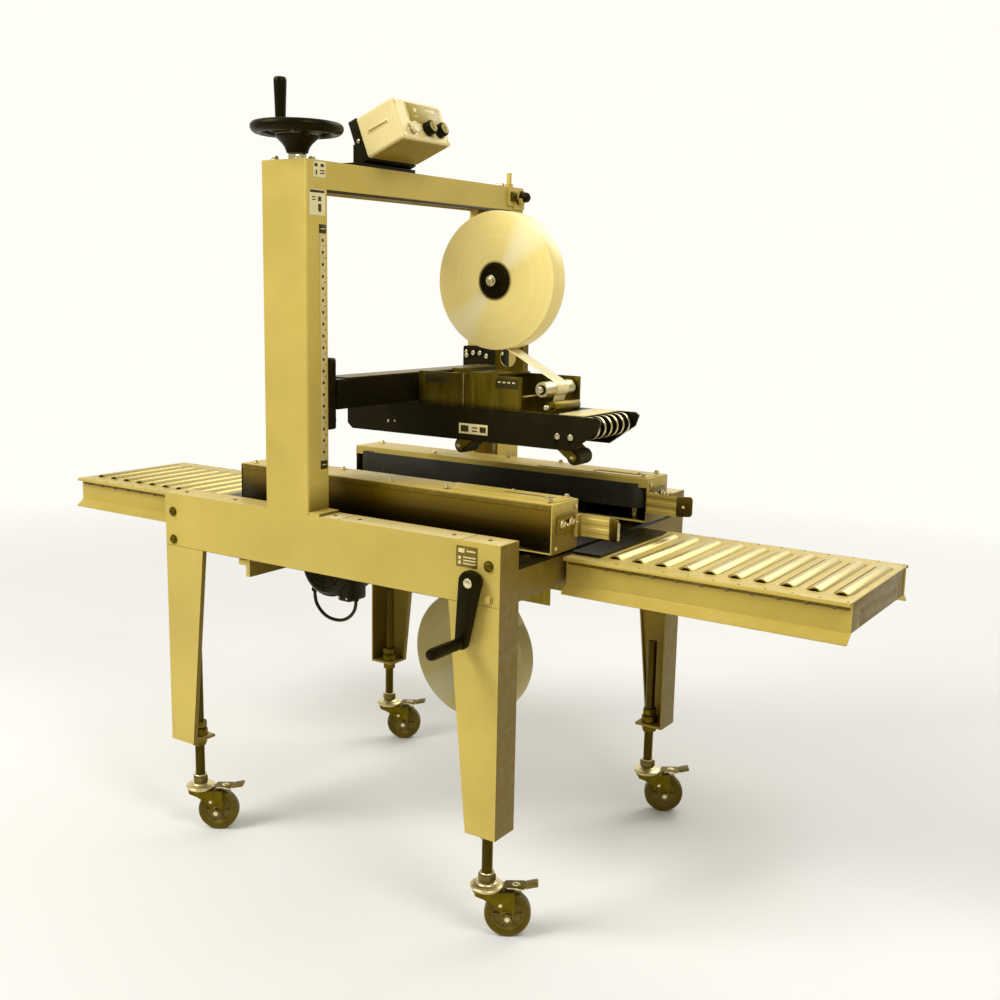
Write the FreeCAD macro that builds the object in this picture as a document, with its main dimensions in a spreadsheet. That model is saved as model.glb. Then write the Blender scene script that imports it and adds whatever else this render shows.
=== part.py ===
"""Side-belt carton sealer: frame, mast, taping heads, belt units, roller tables and casters.

X runs along the conveyor (+X is the infeed end), Y across it (-Y is the operator's side), Z is up.
The origin is on the floor, under the middle of the overall box.
"""
import FreeCAD, Part
import Sketcher
import math
import os
import re
from FreeCAD import Rotation, Vector

NEAR, FAR = -1, 1
EXIT, INFEED = -1, 1
SIDE_NAMES = {NEAR: "near", FAR: "far"}
END_NAMES = {EXIT: "exit", INFEED: "infeed"}

# ---------------------------------------------------------------- driving dimensions, millimetres

DIMENSIONS = {
    "centre_y": 47.85,           # middle of the conveyor, so that the origin is under the box's middle
    "machine_width": 785,
    "panel_length": 895,
    "panel_height": 118,
    "panel_top": 798,
    "panel_flange": 63,
    "plate": 4,
    "rod_gap": 0.06,             # running clearance on a radius
    "slack": 0.4,                # clearance between curved faces that don't bear
    "leg_top_width": 116,
    "leg_bottom_width": 70,
    "leg_bottom": 221,
    "leg_flange": 66,
    "leg_lip": 12,
    "stem_inset_x": 44,
    "stem_inset_y": 42,
    "stem_radius": 11,
    "stem_top": 430,
    "stem_nut": 17,
    "caster_ring": 111,
    "caster_ring_radius": 33,
    "caster_trail": 42,
    "caster_angle": 31.5,
    "wheel_radius": 46.5,
    "wheel_width": 30,
    "bed_top": 750,
    "deck_plate": 8,
    "slot_width": 24,
    "head_slot_low": -74,
    "head_slot_high": 350,
    "head_slot_half": 74,
    "table_reach": 580,
    "table_gap": 10,
    "table_width": 364,
    "rail_height": 60,
    "rail_flange": 13,
    "rail_top": 742,
    "rail_plate": 3,
    "rail_slope": 38,
    "rail_lip": 26,
    "roller_sink": 2,
    "roller_length": 264,
    "slot_length": 274,
    "slot_half": 17.6,
    "roller_radius": 19,
    "roller_wall": 2.5,
    "roller_pitch": 50,
    "roller_first": 546,
    "mast_x": -79,
    "mast_width": 120,
    "mast_depth": 60,
    "mast_lip": 24,
    "mast_top": 1499,
    "beam_height": 55,
    "lift_x": -69,
    "lift_inset": 30,
    "lift_radius": 10,
    "lift_low": 806,
    "sprocket_z": 1470,
    "sprocket_radius": 16,
    "handwheel_z": 1559,
    "handwheel_radius": 79.5,
    "handwheel_rim": 12,
    "handwheel_web": 44,
    "grip_angle": 157,
    "grip_height": 81,
    "carriage_low": 967,
    "carriage_height": 146,
    "carriage_plate": 18,
    "arm_low": 1008,
    "arm_height": 61,
    "arm_depth": 66,
    "head_low": 937,
    "head_top": 1008,
    "head_tail": -180,
    "head_nose": 478,
    "head_half": 85,
    "head_plate": 5,
    "cartridge_half": 63,
    "cartridge_plate": 3,
    "cartridge_tail": 8,
    "cartridge_nose": 276,
    "cartridge_far_nose": 345,
    "cartridge_top": 1077,
    "tape_x": 177,
    "tape_radius": 146,
    "tape_width": 48,
    "core_radius": 38,
    "mandrel_radius": 8,
    "upper_roll_z": 1274,
    "lower_roll_x": 123,
    "lower_roll_z": 437,
    "tension_x": 324,
    "tension_z": 1054,
    "tension_radius": 16,
    "wipe_half": 31,
    "wipe_radius": 17,
    "upper_pivot_z": 985,
    "upper_front_pivot": 292,
    "upper_rear_pivot": 188,
    "lower_front_pivot": 214,
    "lower_rear_pivot": 110,
    "lower_pivot_z": 702,
    "wipe_reach": 92,
    "wipe_drop": 70,
    "drive_low": 758,
    "drive_high": 857,
    "drive_tail": -355,
    "drive_nose": 470,
    "drive_outer": 250,
    "drive_inner": 152,
    "belt_face": 145,
    "belt_thick": 3,
    "belt_low": 790,
    "belt_width": 54,
    "drum_radius": 35,
    "drum_inset": 44,
    "screw_x": 392,
    "screw_z": 725,
    "screw_radius": 9,
    "guide_x": -250,
    "spline_x": -330,
    "spline_z": 690,
    "crank_reach": 119,
    "crank_swing": 8,
    "crank_grip": 92,
    "box_x": 9,
    "box_z": 1575,
    "box_y": -122,
    "box_depth": 101,
    "box_height": 86,
    "box_width": 165,
    "box_tilt": 22,
    "motor_x": -172,
    "motor_z": 629,
    "motor_radius": 74,
    "cable_radius": 4,
}

doc = FreeCAD.newDocument("carton_sealer")
sheet = doc.addObject("Spreadsheet::Sheet", "dims")
for row, (alias, value) in enumerate(DIMENSIONS.items(), 1):
    sheet.set(f"A{row}", alias)
    sheet.set(f"B{row}", str(value))
    sheet.setAlias(f"B{row}", alias)
doc.recompute()

WORD = re.compile(r"[a-z][a-z_]*")
NODES = {}


def size(alias):
    """The value of one cell of the sheet."""
    return float(sheet.get(alias))


def driven(text):
    """Turn 'panel_top - plate' into an expression on the sheet's cells."""
    def cell(match):
        word = match.group(0)
        return "dims." + word if word in DIMENSIONS else word
    return WORD.sub(cell, str(text))


def bind(thing, **properties):
    for name, text in properties.items():
        thing.setExpression(name, driven(text))
    return thing


def place(thing, x, y, z, rotation=None):
    """Put a thing at a point that the sheet drives, turned by a fixed rotation."""
    if rotation is not None:
        thing.Placement = FreeCAD.Placement(Vector(0, 0, 0), rotation)
    for axis, text in zip("xyz", (x, y, z)):
        thing.setExpression("Placement.Base." + axis, driven(text))
    return thing


def node(label, thing):
    """Name a finished sub-part."""
    thing.Label = label
    NODES[label] = thing
    return thing


# ---------------------------------------------------------------- simple pieces

def block(x, y, low, length, width, height):
    """A box centred on x and y that stands on low."""
    box = doc.addObject("Part::Box", "block")
    bind(box, Length=length, Width=width, Height=height)
    return place(box, f"({x}) - ({length})/2", f"({y}) - ({width})/2", low)


AXIS_TURNS = {
    "x": Rotation(Vector(0, 1, 0), 90),
    "y": Rotation(Vector(1, 0, 0), -90),
    "z": Rotation(),
}


def rod(x, y, z, axis, radius, length):
    """A cylinder centred on a point, along one axis."""
    cylinder = doc.addObject("Part::Cylinder", "rod")
    bind(cylinder, Radius=radius, Height=length)
    start = {"x": x, "y": y, "z": z}
    start[axis] = f"({start[axis]}) - ({length})/2"
    return place(cylinder, start["x"], start["y"], start["z"], AXIS_TURNS[axis])


def cone(x, y, low, low_radius, high_radius, height):
    piece = doc.addObject("Part::Cone", "cone")
    bind(piece, Radius1=low_radius, Radius2=high_radius, Height=height)
    return place(piece, x, y, low)


def nut(x, y, z, axis, across, height):
    """A hexagon prism centred on a point; across is its width over the flats."""
    prism = doc.addObject("Part::Prism", "nut")
    prism.Polygon = 6
    bind(prism, Circumradius=f"({across})/sqrt(3)", Height=height)
    start = {"x": x, "y": y, "z": z}
    start[axis] = f"({start[axis]}) - ({height})/2"
    return place(prism, start["x"], start["y"], start["z"], AXIS_TURNS[axis])


def taper(low_x, high_x, low, high, y, width):
    """An upright plate whose left and right edges slope; low_x and high_x are (left, right)."""
    wedge = doc.addObject("Part::Wedge", "taper")
    bind(wedge, Xmin=low_x[0], Xmax=low_x[1], X2min=high_x[0], X2max=high_x[1])
    bind(wedge, Ymin="0", Ymax=f"({high}) - ({low})")
    bind(wedge, Zmin="0", Zmax=width, Z2min="0", Z2max=width)
    return place(wedge, "0", f"({y}) + ({width})/2", low, Rotation(Vector(1, 0, 0), 90))


def fuse(*pieces):
    joined = doc.addObject("Part::MultiFuse", "fuse")
    joined.Shapes = list(pieces)
    return joined


def cut(base, *tools):
    """Take every tool away from the base."""
    for tool in tools:
        result = doc.addObject("Part::Cut", "cut")
        result.Base = base
        result.Tool = tool
        base = result
    return base


def group(*pieces):
    """Separate solids that share one node."""
    together = doc.addObject("Part::Compound", "group")
    together.Links = list(pieces)
    return together


def tube(x, y, z, axis, outer, inner, length):
    return cut(rod(x, y, z, axis, outer, length), rod(x, y, z, axis, inner, f"({length}) + 2"))


def round_edges(base, radius, wanted):
    """Fillet the edges of base that pass the wanted test."""
    doc.recompute()
    picked = [(i, radius, radius) for i, edge in enumerate(base.Shape.Edges, 1) if wanted(edge)]
    fillet = doc.addObject("Part::Fillet", "rounded")
    fillet.Base = base
    fillet.Edges = picked
    return fillet


def runs_along(edge, axis):
    """True for a straight edge parallel to an axis."""
    if edge.Curve.TypeId != "Part::GeomLine":
        return False
    return abs(abs(edge.tangentAt(edge.FirstParameter).dot(axis)) - 1) < 1e-6


def plate_body(name, outline, thickness, y, holes=()):
    """An upright PartDesign plate: a sketched outline in X and Z, padded along Y.

    The outline's points and the holes' centres are pairs of expressions from the plane's origin,
    and every one of them is pinned by two driven constraints.
    """
    body = doc.addObject("PartDesign::Body", name)
    plane = next(f for f in body.Origin.OriginFeatures if f.Role == "XZ_Plane")
    sketch = body.newObject("Sketcher::SketchObject", name + "_outline")
    sketch.AttachmentSupport = (plane, "")
    sketch.MapMode = "FlatFace"
    count = len(outline)
    guesses = [Vector(100 * math.cos(2 * math.pi * i / count), 100 * math.sin(2 * math.pi * i / count), 0)
               for i in range(count)]
    for i in range(count):
        sketch.addGeometry(Part.LineSegment(guesses[i], guesses[(i + 1) % count]), False)
    for i in range(count):
        sketch.addConstraint(Sketcher.Constraint("Coincident", i, 2, (i + 1) % count, 1))

    def pin(geometry, vertex, point, tag):
        for kind, text, guess in (("DistanceX", point[0], 10), ("DistanceY", point[1], 10)):
            index = sketch.addConstraint(Sketcher.Constraint(kind, -1, 1, geometry, vertex, guess))
            sketch.renameConstraint(index, f"{tag}_{kind[-1].lower()}")
            sketch.setExpression(f"Constraints.{tag}_{kind[-1].lower()}", driven(text))

    for i, point in enumerate(outline):
        pin(i, 1, point, f"corner{i}")
    for i, (hole_x, hole_z, radius) in enumerate(holes):
        circle = sketch.addGeometry(Part.Circle(Vector(0, 0, 0), Vector(0, 0, 1), 5), False)
        pin(circle, 3, (hole_x, hole_z), f"hole{i}")
        index = sketch.addConstraint(Sketcher.Constraint("Radius", circle, 5))
        sketch.renameConstraint(index, f"hole{i}_radius")
        sketch.setExpression(f"Constraints.hole{i}_radius", driven(radius))
    pad = body.newObject("PartDesign::Pad", name + "_pad")
    pad.Profile = sketch
    bind(pad, Length=thickness)
    sketch.Visibility = False
    body.Tip = pad
    return place(body, "0", f"({y}) + ({thickness})/2", "0")


# ---------------------------------------------------------------- frame

def side_y(side, outward):
    """A place across the machine, measured outward from its middle plane."""
    return f"centre_y + {side}*({outward})"


PANEL_BOLT_X = "panel_length/2 - 25"
PANEL_BOLT_Z = ("panel_top - 41", "panel_top - panel_height + 14")


def side_panel(side):
    """Long channel with a web outside, open towards the conveyor."""
    low = "panel_top - panel_height"
    shell = block("0", side_y(side, "machine_width/2 - panel_flange/2"), low,
                  "panel_length", "panel_flange", "panel_height")
    void = block("0", side_y(side, "machine_width/2 - plate - panel_flange/2"), low + " + plate",
                 "panel_length - 2*plate", "panel_flange", "panel_height - 2*plate")
    web_y = side_y(side, "machine_width/2 - plate/2")
    holes = [rod("screw_x", web_y, "screw_z", "y", "screw_radius + rod_gap", "plate + 2")]
    for end in (EXIT, INFEED):
        for bolt_z in PANEL_BOLT_Z:
            holes.append(rod(f"{end}*({PANEL_BOLT_X})", web_y, bolt_z, "y", "5.2", "plate + 2"))
    node(SIDE_NAMES[side] + "_side_panel", cut(shell, void, *holes))


def leg(end, side):
    """Tapered sheet leg with an end flange, a return lip, a stem plate and a tab inside the panel."""
    outer_edge = f"{end}*panel_length/2"
    foot_edge = f"{end}*(panel_length/2 - leg_bottom_width)"
    top_edge = f"{end}*(panel_length/2 - leg_top_width)"
    inner_foot = f"{end}*(panel_length/2 - leg_bottom_width + plate)"
    inner_top = f"{end}*(panel_length/2 - leg_top_width + plate)"
    top = "panel_top - panel_height"

    def ordered(first, second):
        return (first, second) if end == INFEED else (second, first)

    face = taper(ordered(foot_edge, outer_edge), ordered(top_edge, outer_edge), "leg_bottom", top,
                 side_y(side, "machine_width/2 - plate/2"), "plate")
    lip = taper(ordered(foot_edge, inner_foot), ordered(top_edge, inner_top), "leg_bottom", top,
                side_y(side, "machine_width/2 - leg_lip/2"), "leg_lip")
    flange = block(f"{end}*(panel_length/2 - plate/2)", side_y(side, "machine_width/2 - leg_flange/2"),
                   "leg_bottom", "plate", "leg_flange", f"{top} - leg_bottom")
    stem_x = f"{end}*(panel_length/2 - stem_inset_x)"
    stem_y = side_y(side, "machine_width/2 - stem_inset_y")
    foot = block(f"{end}*(panel_length/2 - leg_bottom_width/2)",
                 side_y(side, "machine_width/2 - leg_flange/2"), "leg_bottom",
                 "leg_bottom_width", "leg_flange", "6")
    tab = block(f"{end}*(panel_length/2 - 36)", side_y(side, "machine_width/2 - plate*3/2"),
                f"{top} - 60", "56", "plate", "plate + 60 + 90")
    passage = block(f"{end}*(panel_length/2 - 36)", side_y(side, "machine_width/2 - plate*3/2"),
                    top, "58", "plate + 0.02", "plate")
    holes = [rod(stem_x, stem_y, "leg_bottom + 3", "z", "stem_radius + 0.3", "10")]
    for bolt_z in PANEL_BOLT_Z:
        holes.append(rod(f"{end}*({PANEL_BOLT_X})", side_y(side, "machine_width/2 - plate*3/2"),
                         bolt_z, "y", "5.2", "plate + 2"))
    if end == INFEED:
        holes.append(rod("screw_x", side_y(side, "machine_width/2 - plate*3/2"), "screw_z", "y",
                         "screw_radius + 1", "plate + 2"))
    lower = fuse(face, lip, flange, foot, tab)
    node(f"{END_NAMES[end]}_{SIDE_NAMES[side]}_leg", cut(lower, passage, *holes))


def leg_tab_slot(panel_label, side):
    """Notches in a panel's bottom flange where the leg tabs pass."""
    panel = NODES.pop(panel_label)
    notches = [block(f"{end}*(panel_length/2 - 36)", side_y(side, "machine_width/2 - plate*3/2"),
                     "panel_top - panel_height - 1", "57", "plate + 0.6", "plate + 2")
               for end in (EXIT, INFEED)]
    node(panel_label, cut(panel, *notches))


def cross_beam(end):
    """Plate channel across the end of the bed, between the side panels."""
    length = "machine_width - 2*panel_flange"
    x = f"{end}*(panel_length/2 - 14)"
    low = "panel_top - panel_height"
    height = "bed_top - deck_plate - (panel_top - panel_height)"
    shell = block(x, "centre_y", low, "28", length, height)
    void = block(f"{end}*(panel_length/2 - 14 - plate)", "centre_y", low + " + plate",
                 "28", "machine_width - 2*panel_flange + 2", f"{height} - 2*plate")
    return cut(shell, void)


def motor_stay():
    """Folded stay beside the gearmotor, under the near panel's bottom flange, with a ledge on its back."""
    bottom = "panel_top - panel_height"
    web = block("motor_x - 30", side_y(NEAR, "machine_width/2 - 97"), bottom + " - 40", "11", "180", "40")
    ledge = block("motor_x - 46", side_y(NEAR, "machine_width/2 - 27"), bottom + " - 16", "22", "40", "12")
    return fuse(web, ledge)


def levelling_stems():
    """Threaded stems of the casters with the nuts above and below each stem plate."""
    pieces = []
    for end in (EXIT, INFEED):
        for side in (NEAR, FAR):
            x = f"{end}*(panel_length/2 - stem_inset_x)"
            y = side_y(side, "machine_width/2 - stem_inset_y")
            seat = "caster_ring + 0.5"
            stem = rod(x, y, f"(stem_top + {seat})/2", "z", "stem_radius", f"stem_top - ({seat})")
            pin = rod(x, y, f"{seat} - 9", "z", "7.9", "18")
            head = nut(x, y, f"{seat} + 9", "z", "32", "16")
            top_nut = nut(x, y, "leg_bottom + 6 + 18 + stem_nut/2", "z", "32", "stem_nut")
            collar = rod(x, y, "leg_bottom + 6 + 9", "z", "19", "18")
            low_nut = nut(x, y, "leg_bottom - stem_nut/2", "z", "32", "stem_nut")
            pieces.append(fuse(stem, pin, head, top_nut, collar, low_nut))
    node("levelling_stems", group(*pieces))


def mast(side):
    """Upright channel, open towards the conveyor, with a capped top and a foot flange."""
    y = side_y(side, "machine_width/2 - mast_depth/2")
    height = "mast_top - panel_top"
    shell = block("mast_x", y, "panel_top", "mast_width", "mast_depth", height)
    shell = round_edges(shell, 5, lambda edge: runs_along(edge, Vector(0, 0, 1))
                        and (edge.CenterOfMass.y - size("centre_y")) * side > size("machine_width") / 2 - 1)
    void = block("mast_x", y, "panel_top + plate", "mast_width - 2*plate", "mast_depth - 2*plate",
                 f"{height} - 2*plate")
    slot = block("mast_x", side_y(side, "machine_width/2 - mast_depth + plate/2"), "panel_top + plate",
                 "mast_width - 2*mast_lip", "plate + 2", f"{height} - 2*plate")
    screw_y = side_y(side, "machine_width/2 - lift_inset")
    bearing = rod("lift_x", screw_y, "mast_top", "z", "lift_radius + rod_gap", "30")
    foot = block("mast_x + mast_width/2 + 14", y, "panel_top", "28", "mast_depth", "6")
    pieces = [fuse(cut(shell, void, slot, bearing), foot)]
    if side == FAR:
        pieces += mast_clamp()
    node(SIDE_NAMES[side] + "_mast", group(*pieces))


def mast_clamp():
    """Stop screw on the far mast's cap and the clamp bracket on its infeed face."""
    face = "mast_x + mast_width/2"
    y = side_y(FAR, "machine_width/2 - mast_depth/2")
    bracket = block(f"{face} + 3", y, "mast_top - 52", "6", "44", "34")
    boss = rod(f"{face} + 13", side_y(FAR, "machine_width/2 - 34"), "mast_top - 33", "x", "8", "14")
    stop = rod("lift_x + 34", side_y(FAR, "machine_width/2 - 44"), "mast_top + 17", "z", "6", "34")
    stop_nut = nut("lift_x + 34", side_y(FAR, "machine_width/2 - 44"), "mast_top + 4", "z", "19", "8")
    return [fuse(bracket, boss), fuse(stop, stop_nut)]


def top_beam():
    """Inverted channel between the masts; the lift chain runs inside it."""
    length = "machine_width - 2*mast_depth"
    low = "mast_top - beam_height"
    shell = block("mast_x", "centre_y", low, "mast_width", length, "beam_height")
    void = block("mast_x", "centre_y", low + " - plate", "mast_width - 2*plate",
                 length + " + 2", "beam_height")
    node("top_beam", cut(shell, void))


def frame_bolts():
    """Bolts of the panels and masts: head and washer outside, shank, nut inside."""
    pieces = []
    for side in (NEAR, FAR):
        for end in (EXIT, INFEED):
            for bolt_z in PANEL_BOLT_Z:
                x = f"{end}*({PANEL_BOLT_X})"
                head = rod(x, side_y(side, "machine_width/2 + 3.5"), bolt_z, "y", "8", "3")
                washer = rod(x, side_y(side, "machine_width/2 + 1"), bolt_z, "y", "10.5", "2")
                shank = rod(x, side_y(side, "machine_width/2 - plate - 3"), bolt_z, "y", "5", "2*plate + 6")
                back = nut(x, side_y(side, "machine_width/2 - 2*plate - 3"), bolt_z, "y", "17", "6")
                pieces.append(fuse(head, washer, shank, back))
        for offset_x, offset_y in ((32, 12), (-32, 12), (32, 48), (-32, 48)):
            if side == FAR and offset_x > 0:
                continue
            x = f"mast_x + {offset_x}"
            y = side_y(side, f"machine_width/2 - {offset_y}")
            washer = rod(x, y, "mast_top + 1", "z", "9", "2")
            head = nut(x, y, "mast_top + 5", "z", "13", "6")
            pieces.append(fuse(washer, head))
    node("frame_bolts", group(*pieces))


# ---------------------------------------------------------------- bed and roller tables

def bed_deck():
    """Deck plates with the slots of the belt units between them, bearers and the guide rod."""
    half_length = "panel_length/2"
    half_slot = "slot_width/2"
    width = "machine_width - 2*panel_flange"
    low = "bed_top - deck_plate"
    cuts = [("-" + half_length, f"spline_x - {half_slot}"),
            (f"spline_x + {half_slot}", f"guide_x - {half_slot}"),
            (f"guide_x + {half_slot}", "head_slot_low"),
            ("head_slot_high", f"screw_x - {half_slot}"),
            (f"screw_x + {half_slot}", half_length)]
    pieces = [block(f"(({first}) + ({last}))/2", "centre_y", low, f"({last}) - ({first})", width, "deck_plate")
              for first, last in cuts]
    strip = f"({width})/2 - head_slot_half"
    for side in (NEAR, FAR):
        pieces.append(block("(head_slot_low + head_slot_high)/2",
                            side_y(side, f"head_slot_half + ({strip})/2"), low,
                            "head_slot_high - head_slot_low", strip, "deck_plate"))
        pieces.append(block("0", side_y(side, f"({width})/2 + (panel_flange - plate)/2"), low + " - 5",
                            "panel_length - 2*plate - 128", "panel_flange - plate - 10", "5"))
        pieces.append(block("0", side_y(side, f"({width})/2 - 6"), low + " - 5",
                            "panel_length - 60", "12", "5"))
    for end in (EXIT, INFEED):
        ledge = block(f"{end}*(panel_length/2 + 42)", "centre_y", "bed_top - 5", "64", "300", "3")
        pieces.append(ledge)
    rail = rod("guide_x", "centre_y", "screw_z", "y", "screw_radius",
               "machine_width - 2*plate")
    pieces.append(rail)
    node("bed_deck", group(*pieces))


def roller_places(end):
    """Middle of each roller along the conveyor."""
    return [f"{end}*(roller_first + {i}*roller_pitch)" for i in range(10)]


def table_frame(end):
    """Slotted top plate on two side rails with sloping lips, joined by two end plates."""
    start = "panel_length/2 + table_gap"
    length = "table_reach - table_gap"
    middle = f"{end}*({start} + ({length})/2)"
    low = "rail_top - rail_height"
    web_y = "table_width/2 - rail_flange"
    top = block(middle, "centre_y", "rail_top - rail_plate", length, "table_width", "rail_plate")
    slots = [block(x, "centre_y", "rail_top - rail_plate - 1", "2*slot_half", "slot_length", "rail_plate + 2")
             for x in roller_places(end)]
    pieces = [cut(top, *slots)]
    for side in (NEAR, FAR):
        pieces.append(block(middle, side_y(side, f"{web_y} - rail_plate/2"), low, length, "rail_plate",
                            "rail_height - rail_plate"))
        lip = doc.addObject("Part::Box", "lip")
        bind(lip, Length=length, Width="rail_lip", Height="rail_plate")
        turn = Rotation(Vector(1, 0, 0), -size("rail_slope")) if side == FAR else Rotation(
            Vector(1, 0, 0), 180 + size("rail_slope"))
        rise = turn.multVec(Vector(0, 0, size("rail_plate") / 2))
        place(lip, f"{middle} - ({length})/2", f"{side_y(side, web_y + ' - 1')} - ({rise.y:.4f})",
              f"{low} + 2 - ({rise.z:.4f})", turn)
        pieces.append(lip)
    plate_x = f"{end}*({start} + ({length}) - 4)"
    inner = "table_width - 2*rail_flange - 6"
    end_plate = block(plate_x, "centre_y", low + " + 1", "4", inner, "rail_height - rail_plate - 1")
    holes = []
    for side in (NEAR, FAR):
        for hole_z in ("8", "32"):
            holes.append(rod(plate_x, side_y(side, "120"), f"{low} + {hole_z}", "x", "4.5", "8"))
    pieces.append(cut(end_plate, *holes))
    pieces.append(block(f"{end}*({start} + 4)", "centre_y", low, "8", inner, "rail_height - rail_plate"))
    node(END_NAMES[end] + "_table_frame", fuse(*pieces))


def table_rollers(end):
    """Ten idle rollers on fixed axles."""
    pieces = []
    for x in roller_places(end):
        z = "bed_top - roller_radius - roller_sink"
        shell = cut(tube(x, "centre_y", z, "y", "roller_radius", "5 + slack", "roller_length"),
                    rod(x, "centre_y", z, "y", "roller_radius - roller_wall", "roller_length - 30"))
        axle = rod(x, "centre_y", z, "y", "5", "table_width - 2*rail_flange - 6")
        pieces += [shell, axle]
    return pieces


# ---------------------------------------------------------------- casters

def caster(end, side):
    """Swivel fork, braked wheel and foot pedal, drawn trailing along +X and then turned."""
    name = f"{END_NAMES[end]}_{SIDE_NAMES[side]}"
    trail, axle_z = "caster_trail", "wheel_radius"
    ring = fuse(rod("0", "0", "caster_ring - 6", "z", "caster_ring_radius", "12"),
                cone("0", "0", "caster_ring - 16.5", "26", "caster_ring_radius - 3", "4.5"),
                block("caster_trail/2 - 2", "0", "caster_ring - 17", "66", "48", "5"))
    bore = rod("0", "0", "caster_ring - 12", "z", "7.9 + rod_gap", "40")
    cheeks = []
    for turn in (-1, 1):
        y = f"{turn}*(wheel_width/2 + 6)"
        cheeks.append(taper(("caster_trail - 13", "caster_trail + 13"), ("-20", "caster_trail + 12"),
                            "wheel_radius - 14", "caster_ring - 14", y, "3"))
    axle = rod(trail, "0", axle_z, "y", "6", "wheel_width + 26")
    nuts = [nut(trail, f"{turn}*(wheel_width/2 + 11)", axle_z, "y", "18", "8") for turn in (-1, 1)]
    fork = cut(fuse(ring, *cheeks, axle, *nuts), bore)
    tread = tube(trail, "0", axle_z, "y", "wheel_radius", "31", "wheel_width")
    hub = tube(trail, "0", axle_z, "y", "30.6", "6 + rod_gap", "wheel_width - 6")
    dish = [tube(trail, f"{turn}*(wheel_width/2 - 1)", axle_z, "y", "14", "6 + rod_gap", "6")
            for turn in (-1, 1)]
    wheel = group(tread, fuse(hub, *dish))
    pedal = fuse(block("caster_trail + 15", "0", "caster_ring - 8", "36", "34", "3"),
                 block("caster_trail + 45", "0", "caster_ring - 10", "26", "26", "7"),
                 block("caster_trail + 34", "0", "caster_ring - 10", "6", "34", "5"),
                 rod("caster_trail - 1", "0", "caster_ring - 6.5", "y", "3", "34"))
    stem_x = f"{end}*(panel_length/2 - stem_inset_x)"
    stem_y = side_y(side, "machine_width/2 - stem_inset_y")
    turned = Rotation(Vector(0, 0, 1), size("caster_angle"))
    for label, piece in (("fork", fork), ("wheel", wheel), ("pedal", pedal)):
        holder = group(piece)
        place(holder, stem_x, stem_y, "0", turned)
        node(f"{name}_caster_{label}", holder)


# ---------------------------------------------------------------- head lift

def handwheel():
    """Dished handwheel keyed to the top of the near lead screw, with its revolving grip."""
    y = side_y(NEAR, "machine_width/2 - lift_inset")
    rim = doc.addObject("Part::Torus", "rim")
    bind(rim, Radius1="handwheel_radius", Radius2="handwheel_rim")
    place(rim, "lift_x", y, "handwheel_z")
    spokes = []
    for i in range(3):
        spoke = doc.addObject("Part::Box", "spoke")
        bind(spoke, Length="handwheel_radius - 6", Width="26", Height="9")
        turn = Rotation(Vector(0, 0, 1), 90 + 120 * i)
        corner = turn.multVec(Vector(0, -13, 0))
        place(spoke, f"lift_x + ({corner.x:.4f})", f"{y} + ({corner.y:.4f})", "handwheel_z - 10", turn)
        spokes.append(spoke)
    hub = cone("lift_x", y, "handwheel_z - 47", "22", "handwheel_web", "26")
    web = rod("lift_x", y, "handwheel_z - 16", "z", "handwheel_web", "10")
    grip_x = "lift_x + handwheel_radius*cos(grip_angle)"
    grip_y = f"{y} + handwheel_radius*sin(grip_angle)"
    spindle = rod(grip_x, grip_y, "handwheel_z + 30", "z", "5", "50")
    bore = rod("lift_x", y, "handwheel_z - 25", "z", "lift_radius", "60")
    node("handwheel", cut(fuse(rim, *spokes, hub, web, spindle), bore))
    low = "handwheel_z + handwheel_rim + 1"
    stem = cone(grip_x, grip_y, low, "10.5", "14", "grip_height")
    crown = doc.addObject("Part::Sphere", "crown")
    bind(crown, Radius="14")
    place(crown, grip_x, grip_y, low + " + grip_height")
    hole = rod(grip_x, grip_y, low + " + 20", "z", "5 + rod_gap", "46")
    node("handwheel_grip", cut(fuse(stem, crown), hole))


def lift_screw(side):
    """Lead screw in its mast, with the chain sprocket."""
    y = side_y(side, "machine_width/2 - lift_inset")
    top = "handwheel_z - 11" if side == NEAR else "mast_top + 12"
    screw = rod("lift_x", y, f"(lift_low + ({top}))/2", "z", "lift_radius", f"({top}) - lift_low")
    sprocket = rod("lift_x", y, "sprocket_z", "z", "sprocket_radius", "6")
    boss = rod("lift_x", y, "sprocket_z + 9", "z", "13", "12")
    thrust = rod("lift_x", y, "lift_low + 6", "z", "18", "12")
    pieces = [screw, sprocket, boss, thrust]
    if side == NEAR:
        pieces.append(rod("lift_x", y, "mast_top + 6", "z", "18", "11.4"))
    node(SIDE_NAMES[side] + "_lift_screw", fuse(*pieces))


def lift_chain():
    """Chain round the two sprockets, drawn as one closed band."""
    span = "machine_width - 2*lift_inset"
    bands = []
    for radius, height in (("sprocket_radius + slack + 5", "8"), ("sprocket_radius + slack", "10")):
        ends = [rod("lift_x", side_y(s, f"({span})/2"), "sprocket_z", "z", radius, height) for s in (NEAR, FAR)]
        middle = block("lift_x", "centre_y", f"sprocket_z - ({height})/2", f"2*({radius})", span, height)
        bands.append(fuse(*ends, middle))
    node("lift_chain", cut(*bands))


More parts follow.
